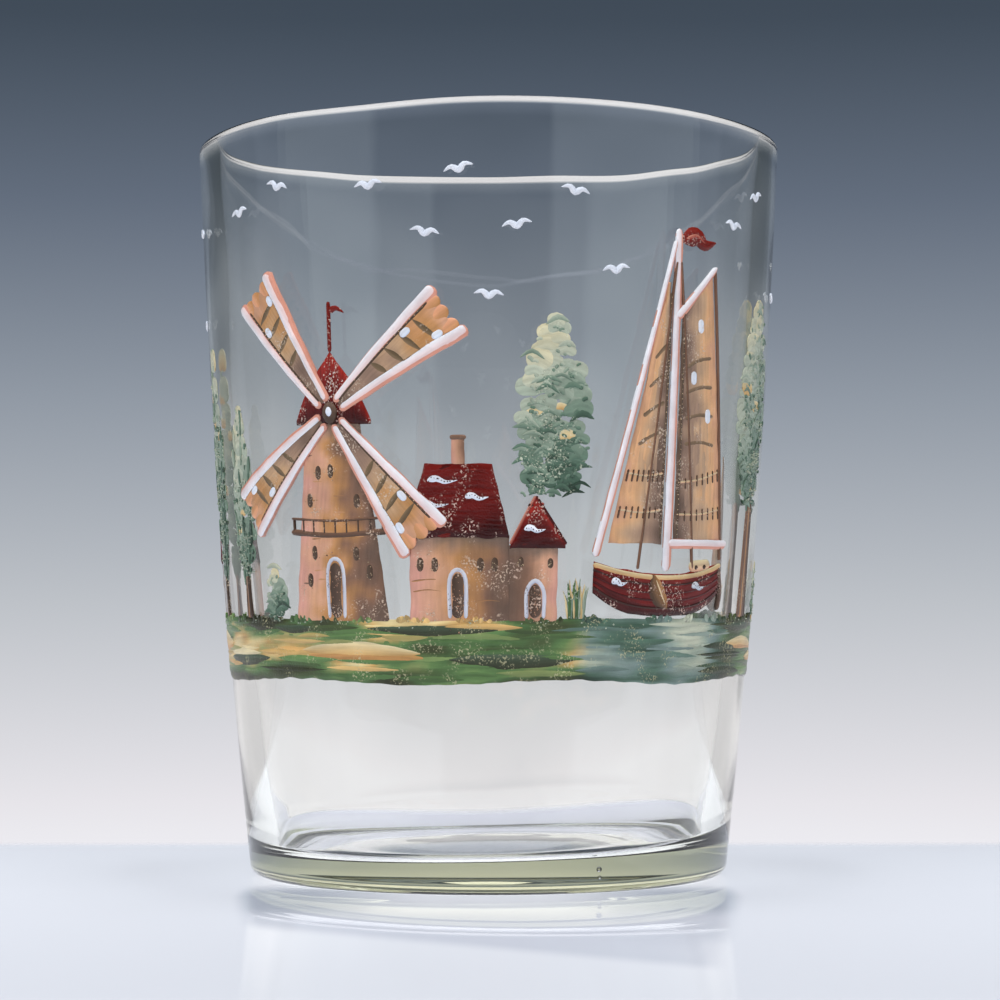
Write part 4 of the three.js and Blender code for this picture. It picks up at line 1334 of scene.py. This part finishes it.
# %% Farmhouse
FARMHOUSE = -4.4
windows = [(-10.2, 47.8, 210), (-8, 47.8, 211), (-1.2, 47.8, 212), (0.9, 47.8, 213)]
wall = paint_wall(FARMHOUSE, 12.5, (15, 15), WALL_STOPS, 21, windows, (1.4, 2.1), (-4.6, 2.4, 7, 230),
                  shadow=2.2)
for row, (start, length) in enumerate(((-11.6, 6), (-11.4, 4.4), (-2.6, 4.8))):
    sunk = 1.5 * row
    path = [(start, 45.4 - sunk), (start + length / 2, 45.7 - sunk), (start + length, 45.5 - sunk)]
    wall.append(mark(path, 0.4, OCHRE, BROWN, shape="comma", lift=0.22, thick=0.05, cells=(16, 3)))
dress("farmhouse_wall", wall)
lights = ((-8.9, 59.8, 4.4), (-10.6, 56.4, 4.8), (-3.4, 57.4, 3.4))
dress("farmhouse_roof", paint_roof([(-12.9, 51.6), (3.1, 51.6)], [(-9.3, 62.2), (0.5, 62.2)], ROOF_STOPS,
                                   23, 9, 240, lights, 260))

chimney = [patch(*block(FARMHOUSE, 61.8, 4.5, 2, 2), [(0, PINK), (0.5, PEACH), (1, BROWN)], seed=25)]
chimney.append(mark([(-5.6, 66), (-3.2, 66)], 0.7, GREY_BROWN, BROWN, lift=0.2, thick=0.18))
dress("farmhouse_chimney", chimney)

# %% Barn
BARN = 6.9
barn_stops = [(0, GREY_BROWN), (0.35, BROWN), (0.7, PEACH), (1, PINK)]
windows = [(4.8, 48.2, 280), (9.2, 48, 290)]
dress("barn_wall", paint_wall(BARN - 0.25, 11, (7.5, 7.5), barn_stops, 27, windows, (1.1, 1.5),
                              (7, 2.6, 5.4, 270), shadow=1.6))
roof = paint_roof([(3.2, 50.1), (BARN, 50.1), (11.4, 50.1)], [(3.4, 50.8), (BARN, 57.7), (11.4, 50.8)],
                  [(0, DARK_RED), (0.6, RED), (1, (150, 42, 34))], 29, 5, 295, ((5.2, 52.8, 3.2),), 290,
                  strokes_to=[(5.8, 57), (BARN, 57), (8, 57)])
for start, end, above in (((3.2, 50.7), (BARN, 57.6), SALMON), ((BARN, 57.6), (11.6, 50.7), DARK_RED)):
    roof.append(mark([start, end], 0.5, RED, above, lift=0.28, thick=0.14, cells=(12, 3)))
dress("barn_roof", roof)

# %% Hamlet
HAMLET = -72
windows = [(-75.6, 45.2, 330), (-74, 45.2, 331), (-69.6, 45.2, 332), (-68, 45.2, 333)]
dress("hamlet_wall", paint_wall(HAMLET, 9, (10, 10), WALL_STOPS, 33, windows, (1.1, 1.7),
                                (HAMLET, 1.8, 5, 350), shadow=1.5))
dress("hamlet_roof", paint_roof([(-77.5, 48.1), (-66.5, 48.1)], [(-74.5, 54.5), (-69.5, 54.5)], ROOF_STOPS,
                                35, 6, 360, ((-74.4, 52.4, 3.2), (-75.6, 50.2, 3)), 370))

# %% [markdown]
# The tower mill is a common figure of lowland painting. Its tower is washed from pink to brown, with
# a gallery round its waist. Each sail is a tapered canvas between two thick pale spars, and the
# canvases lie over the tower and the roofs, so they stand higher off the glass.

# %% Mill tower and cap
MILL = -23.9
CAP_BOTTOM = 68.1
TOWER_WINDOWS = ((-26.6, 61.2), (-24.4, 61.4), (-28.4, 57.2), (-20, 57), (-27.9, 49.6), (-20.4, 49.4),
                 (-18.2, 46.8), (-29, 45.6))
STONE_SHADES = ((BROWN, OCHRE), (GREY_BROWN, BROWN), (OCHRE, PEACH))
windows = [(along, height, 380 + index) for index, (along, height) in enumerate(TOWER_WINDOWS)]
tower = paint_wall(MILL, 29, (17.2, 9.4), WALL_STOPS, 37, windows, (1.4, 2.1), (-24.2, 2.8, 8.6, 440),
                   shadow=2.4, uneven=0.18)
rng = random.Random(45)
for course in range(12):
    height = rng.uniform(43, 66)
    reach = 7.4 - 3.6 * (height - 40.3) / 27.5
    along = MILL + rng.uniform(-reach, reach)
    shades = rng.choice(STONE_SHADES)
    path = [(along - 1.1, height), (along + 1.1, height + rng.uniform(-0.2, 0.2))]
    tower.append(mark(path, 0.45, *shades, shape="comma", lift=0.22, thick=0.05, seed=450 + course))
GALLERY_RAILS = ((8.6, 52.6, 52.1, 0.9, 0.2, 0.2), (8.4, 54.6, 54.2, 0.4, 0.22, 0.16))
for reach, level, sag, width, lift, thick in GALLERY_RAILS:
    path = [(MILL - reach, level), (MILL, sag), (MILL + reach, level)]
    tower.append(mark(path, width, DARK_BROWN, BROWN, lift=lift, thick=thick, cells=(20, 3)))
for post in range(9):
    along = MILL - 8 + 2 * post
    tower.append(mark([(along, 52.3), (along, 54.5)], 0.35, DARK_BROWN, GREY_BROWN, lift=0.22, thick=0.14))
dress("mill_tower", tower)

cap_low, cap_high = [], []
for step in range(13):
    share = step / 6 - 1
    along = MILL + 6.5 * share
    cap_low.append((along, CAP_BOTTOM))
    cap_high.append((along, CAP_BOTTOM + max(0.5, 10.5 * (1 - abs(share)) ** 0.7)))
cap_stops = [(0, DARK_RED), (0.5, RED), (1, (140, 38, 30))]
cap = [patch(cap_low, cap_high, cap_stops, thick=0.28, lift=ROOF_LIFT, grain="wide", cell=0.6, seed=39)]
for rib in (-0.6, -0.2, 0.25, 0.65):
    path = [(MILL + out * rib, CAP_BOTTOM + up) for out, up in ((6.2, 0.6), (4.6, 5), (0.8, 8.6))]
    cap.append(mark(path, 0.7, DARK_RED, RED, shape="leaf", lift=0.3, thick=0.1, cells=(14, 3)))
cap += paint_dots(scatter((MILL, CAP_BOTTOM + 5.4), (0.9, 1.7), 44, 470), 470, size=0.34, lift=0.4,
                  shades=(PEACH, COLD_WHITE))
dress("mill_cap", cap)

vane = [mark([(MILL, 78.6), (MILL, 85.9)], 0.65, RED, BRIGHT_RED, lift=0.05, thick=0.22, cells=(12, 3),
             back=FIRST_COAT_BACK)]
pennon = [(MILL, 84.4), (MILL + 1.2, 84.9), (MILL + 2.6, 84.2)]
vane.append(mark(pennon, 1.0, RED, BRIGHT_RED, shape="comma", lift=0.08, cells=(10, 3)))
vane.append(mark([(MILL - 0.2, 79.4), (MILL + 0.2, 79.4)], 1.1, DARK_RED, BRIGHT_RED, lift=0.1))
dress("mill_vane", vane)

# %% Sails of the mill
HUB_HEIGHT = 69.8
SAIL_TILT = 38
SAIL_LIFT = 0.38
CANVAS_STOPS = [(0, GREY_BROWN), (0.3, (140, 114, 98)), (0.6, (184, 150, 116)), (0.8, OCHRE), (1, PEACH)]


def paint_sail(number):
    turn = math.radians(SAIL_TILT + 90 * number)
    ahead = (math.cos(turn), math.sin(turn))
    side = (-ahead[1], ahead[0])

    def at(out, across):
        return (MILL + ahead[0] * out + side[0] * across, HUB_HEIGHT + ahead[1] * out + side[1] * across)

    pieces = [patch([at(2, -0.75), at(2, 0.75)], [at(22.4, -3.4), at(22.4, 3.4)], CANVAS_STOPS,
                    lift=SAIL_LIFT, thick=0.18, grain="wide", seed=60 + number, back=NEXT_COAT_BACK)]
    for scallop, across in enumerate((-2, 0.4, 2.3)):
        pieces.append(mark([at(20.4, across), at(23.3, across)], 2.3, OCHRE, (226, 162, 130),
                           lift=SAIL_LIFT, thick=0.2, cells=(8, 6), seed=scallop))
    for bar in range(4):
        out = 10.4 + 2.9 * bar
        half = 0.6 + 2.3 * (out - 2) / 21
        pieces.append(mark([at(out + 0.5, -half), at(out - 0.7, half * 0.9)], 1.15, (84, 70, 52),
                           (128, 106, 80), shape="leaf", lift=SAIL_LIFT + 0.15, thick=0.06, cells=(10, 4),
                           seed=bar))
    for out, across in ((19, -1.7), (15.6, 1.3)):
        pieces.append(mark([at(out, across), at(out + 1.7, across * 1.1)], 1.05, COLD_WHITE, WHITE,
                           lift=SAIL_LIFT + 0.2, thick=0.12, cells=(8, 6)))
    dress(f"mill_sail_{number + 1}", pieces)
    spars = []
    for edge in (-1, 1):
        spars.append(mark([at(2.4, edge * 0.45), at(21.6, edge * 2.75)], 0.5, DARK_BROWN, (104, 86, 70),
                          lift=SAIL_LIFT + 0.16, thick=0.1, cells=(16, 3)))
        pits = [at(out * 0.8 + 3, edge * (0.52 + 2.2 * (out * 0.8 + 1) / 20)) for out in range(1, 23)]
        spars += paint_dots(pits, 500 + number, shades=(PEACH, CREAM), size=0.2, lift=SAIL_LIFT + 0.24)
        spars.append(mark([at(1.6, edge * 0.75), at(23.7, edge * 3.7)], 1.15, SALMON, PINK,
                          lift=SAIL_LIFT + 0.1, thick=0.2, cells=(20, 4), flare=1.7))
        spars.append(mark([at(2, edge * 0.75 + 0.08), at(23.5, edge * 3.7 + 0.16)], 0.86, PALE_PINK, WHITE,
                          lift=SAIL_LIFT + 0.22, thick=0.2, cells=(20, 4), flare=1.75))
    return spars


sail_spars = []
for number in range(4):
    sail_spars += paint_sail(number)
dress("mill_spars", sail_spars, replaces=False, name="mill_spars_paint", slot="enamel_spar")

hub = [mark([(MILL - 1.2, HUB_HEIGHT), (MILL + 1.2, HUB_HEIGHT)], 3.2, DARK_BROWN, GREY_BROWN,
            lift=SAIL_LIFT + 0.25, thick=0.22, cells=(12, 8)),
       mark([(MILL - 0.5, HUB_HEIGHT + 0.1), (MILL + 0.5, HUB_HEIGHT + 0.2)], 1.5, COLD_WHITE, WHITE,
            lift=SAIL_LIFT + 0.42, thick=0.2, cells=(8, 6))]
dress("mill_hub", hub)

# %% [markdown]
# The sailing barge is the largest motif. Its hull is thick red with a cream strake, its sails are
# washed from ochre to grey brown in long upright strokes, and its spars are single fat strokes.

# %% Barge hull
BARGE = 29
HULL_STOPS = [(0, DARK_RED), (0.35, (104, 24, 22)), (0.7, RED), (1, BRIGHT_RED)]
STRAKES = ((0.90, 0.8, OCHRE, CREAM), (0.74, 0.4, DARK_RED, DARK_BROWN), (0.55, 0.4, DARK_RED, RED),
           (0.38, 0.4, DARK_RED, RED), (0.2, 0.5, DARK_BROWN, DARK_RED))


def hull_edges(centre, half, depth, sheer, bilge):
    lower, upper = [], []
    for step in range(13):
        share = step / 6 - 1
        along = centre + half * share
        lower.append((along, GROUND + bilge * abs(share) ** 3))
        upper.append((along, GROUND + depth + sheer * share * share))
    return lower, upper


def between(lower, upper, share):
    return [(a[0], a[1] + (b[1] - a[1]) * share) for a, b in zip(lower, upper)]


keel, deck = hull_edges(BARGE, half=13, depth=6.2, sheer=1.8, bilge=3.4)
hull = [patch(keel, deck, HULL_STOPS, thick=0.3, cell=0.6, seed=71)]
for index, (share, width, below, above) in enumerate(STRAKES):
    hull.append(mark(between(keel, deck, share), width, below, above, lift=0.22, thick=0.16, cells=(28, 3),
                     seed=index))
hull.append(mark([(26.4, 46.4), (27.4, 43.6), (29.4, 41.4)], 3.0, DARK_BROWN, OCHRE, shape="leaf", lift=0.3,
                 thick=0.2, cells=(14, 6)))
hull.append(mark([(26.9, 45.6), (28.8, 42.2)], 0.4, CREAM, PEACH, shape="leaf", lift=0.46, thick=0.1))
hull += paint_lights(((19, 45.2, 2.6), (34.6, 44.6, 3.0)), 480)
rudder = [(41.4, 47.6), (42.3, 44), (41.9, 41.2)]
hull.append(mark(rudder, 1.3, DARK_BROWN, BROWN, lift=0.2, cells=(10, 3)))
hull.append(mark([(34, 47.6), (39, 47.9)], 1.7, PEACH, CREAM, lift=0.12, thick=0.2, cells=(12, 4)))
for path in ([(35, 47.5), (35.8, 47.5)], [(37, 47.6), (37.8, 47.6)]):
    hull.append(mark(path, 0.7, DARK_BROWN, DARK_BROWN, lift=0.3, thick=0.1))
dress("barge_hull", hull)

# %% Barge sails
SAIL_STOPS = [(0, GREY_BROWN), (0.22, (142, 116, 100)), (0.5, (184, 152, 122)), (0.75, (210, 162, 118)),
              (1, PEACH)]


def paint_canvas(inner, outer, seed):
    """A sail between its inner and outer edge, with soft upright strokes and rows of reef points."""
    rng = random.Random(seed)
    pieces = [patch(inner, outer, SAIL_STOPS, thick=0.22, seed=seed, uneven=0.16)]

    def at(share_out, share_up):
        low = [a + (b - a) * share_out for a, b in zip(inner[0], outer[0])]
        high = [a + (b - a) * share_out for a, b in zip(inner[-1], outer[-1])]
        return tuple(a + (b - a) * share_up for a, b in zip(low, high))

    for stroke in range(14):
        out = rng.uniform(0.1, 0.92)
        start = rng.uniform(0.02, 0.6)
        end = min(0.96, start + rng.uniform(0.2, 0.45))
        shade = np.array(tint(SAIL_STOPS, out + rng.uniform(-0.16, 0.12)))
        path = [at(out, start), at(out, end)]
        pieces.append(mark(path, rng.uniform(0.9, 1.9), shade * 0.97, shade * 1.05, shape="leaf",
                           lift=0.16, thick=0.07, cells=(16, 4), seed=seed + stroke))
    for bar in range(4):
        up = 0.42 + 0.11 * bar
        path = [at(0.14, up + 0.01), at(0.5, up - 0.01), at(0.84, up - 0.045)]
        pieces.append(mark(path, 0.75, (98, 80, 62), (142, 116, 90), lift=0.2, thick=0.04, cells=(12, 4),
                           seed=bar))
    for row in (0.13, 0.27):
        pieces.append(mark([at(0.03, row), at(0.5, row - 0.01), at(0.96, row)], 0.35, PEACH, CREAM,
                           lift=0.22, thick=0.1, cells=(16, 3)))
        for point in range(8):
            out = (point + 0.5) / 8
            pieces.append(mark([at(out, row + 0.012), at(out, row - 0.035)], 0.3, DARK_BROWN, BROWN,
                               lift=0.27, thick=0.08))
    edge = [at(0.05, 0.02), at(0.05, 0.5), at(0.05, 0.96)]
    pieces.append(mark(edge, 0.5, DARK_BROWN, (104, 86, 70), lift=0.2, thick=0.1, cells=(24, 3)))
    pits = [at(0.05, 0.04 + 0.022 * pit) for pit in range(42)]
    pieces += paint_dots(pits, seed, shades=(PEACH, CREAM), size=0.2, lift=0.28)
    return pieces, at


luff, stay = BARGE + 1.15, BARGE - 1.15
mainsail, main_at = paint_canvas([(luff, 50.9), (luff, 83.9)], [(41.55, 50.9), (36.15, 90.9)], 73)
for out, up in ((0.34, 0.66), (0.7, 0.47), (0.55, 0.84)):
    glint = [main_at(out, up), main_at(out, up + 0.055)]
    mainsail.append(mark(glint, 1.15, COLD_WHITE, WHITE, lift=0.28, thick=0.12, cells=(8, 6)))
dress("barge_mainsail", mainsail)
foresail, _ = paint_canvas([(stay, 50.9), (stay, 88.9)], [(18.25, 50.9), (27.35, 88.9)], 91)
dress("barge_foresail", foresail)

# %% Barge spars and rigging
MAST_TOP = 96.8


def paint_spar(start, end, width, lift=0.3, flare=1.0, seed=0):
    """A fat pinkish white stroke with a salmon edge along one side."""
    ahead = (end[0] - start[0], end[1] - start[1])
    aside = 0.09 * width / math.hypot(*ahead)
    shifted = [(x - ahead[1] * aside, y + ahead[0] * aside) for x, y in (start, end)]
    look = {"thick": 0.2, "cells": (24, 4), "flare": flare}
    return [mark([start, end], width, SALMON, PINK, lift=lift, seed=seed, **look),
            mark(shifted, width * 0.76, PALE_PINK, WHITE, lift=lift + 0.1, seed=seed + 1, **look)]


dress("barge_mast", paint_spar((BARGE, 46.9), (BARGE, MAST_TOP), 1.8, lift=0.1, flare=0.75))
dress("barge_boom", paint_spar((BARGE, 50.9), (42.9, 50.9), 1.4, seed=2))
dress("barge_gaff", paint_spar((BARGE, 83.9), (36.8, 91.6), 1.5, flare=0.5, seed=4))
stay_marks = paint_spar((16.2, 49), (28.4, 95), 1.3, flare=0.45, seed=6)
for foot, head in (((23.5, 47.2), (28.6, 92)), ((34.5, 47.3), (29.4, 92)), ((41.6, 48.6), (36.6, 91))):
    stay_marks.append(mark([foot, head], 0.3, DARK_BROWN, BROWN, lift=0.34, thick=0.1, cells=(24, 3)))
dress("barge_forestay", stay_marks)
flag = [(luff - 0.6, 95.3), (32.4, 95.9), (34.2, 94.8), (36.6, 95.3)]
pennant = [mark(flag, 3.0, RED, BRIGHT_RED, shape="comma", lift=0.05, thick=0.25, cells=(18, 6),
                back=FIRST_COAT_BACK),
           mark([(30.2, 95.4), (32.2, 96), (34, 95)], 0.7, BRIGHT_RED, SALMON, shape="comma", lift=0.26,
                thick=0.12, cells=(12, 3))]
dress("barge_pennant", pennant)

# %% Skiff
SKIFF = 77.5
keel, deck = hull_edges(SKIFF, half=5.5, depth=3.6, sheer=0.9, bilge=1.8)
hull = [patch(keel, deck, [(0, DARK_BROWN), (0.6, BROWN), (1, OCHRE)], thick=0.28, cell=0.6, seed=81)]
for share, width, below, above, thick in ((0.86, 0.6, OCHRE, CREAM, 0.16),
                                          (0.45, 0.35, DARK_BROWN, DARK_BROWN, 0.12)):
    path = between(keel, deck, share)
    hull.append(mark(path, width, below, above, lift=0.2, thick=thick, cells=(20, 3)))
dress("skiff_hull", hull)
sail = [patch(*block(SKIFF, 45.1, 20, 7, 0.6), SAIL_STOPS, seed=83)]
for seam in (-0.5, 0, 0.5):
    sail.append(mark([(SKIFF + 3.2 * seam, 45.4), (SKIFF + 0.4 * seam, 63)], 0.4, DARK_BROWN, GREY_BROWN,
                     shape="leaf", lift=0.2, thick=0.12, cells=(18, 3)))
sail += paint_spar((SKIFF - 3.6, 45.2), (SKIFF + 3.6, 45.2), 1.0)
sail += paint_spar((SKIFF, 44.6), (SKIFF, 65), 0.9, flare=0.6)
dress("skiff_sail", sail)

# %% [markdown]
# Gulls are two curved touches each, thick at the body and drawn out to the tip of the wing.

# %% Gulls
BIRDS = ((-66, 30, 10), (-61.5, 16, -8), (-42, 15, 10), (-33, 12, -14), (-17, 13, 6), (-9, 20, -10),
         (-4, 11, 14), (0, 29, -4), (4, 19, 10), (12, 14, -12), (18.5, 25, 8), (41, 17, -6), (48, 12, 14),
         (62, 26, -10), (72, 20, 6))
WING = ((-0.2, -0.1), (0.9, 0.95), (2.1, 0.55))
WINGS = ((-1, COLD_WHITE, WHITE, 0.03), (1, WHITE, COLD_WHITE, 0.05))
for number, (along, depth, turn) in enumerate(BIRDS, 1):
    cosine, sine = math.cos(math.radians(turn)), math.sin(math.radians(turn))
    height = HEIGHT - depth
    touches = []
    for side, below, above, lift in WINGS:
        path = [(along + side * x * cosine - y * sine, height + side * x * sine + y * cosine)
                for x, y in WING]
        touches.append(mark(path, 0.95, below, above, shape="comma", lift=lift, thick=0.26, cells=(10, 4),
                            seed=number + len(touches), back=FIRST_COAT_BACK))
    dress(f"bird_{number}", touches)

# %% Finish
bpy.context.scene.view_settings.view_transform = "Standard"
left_over = [node for node in frame["nodes"] if not frame["nodes"][node].hide_render]
print("CAD nodes still shown:", left_over)
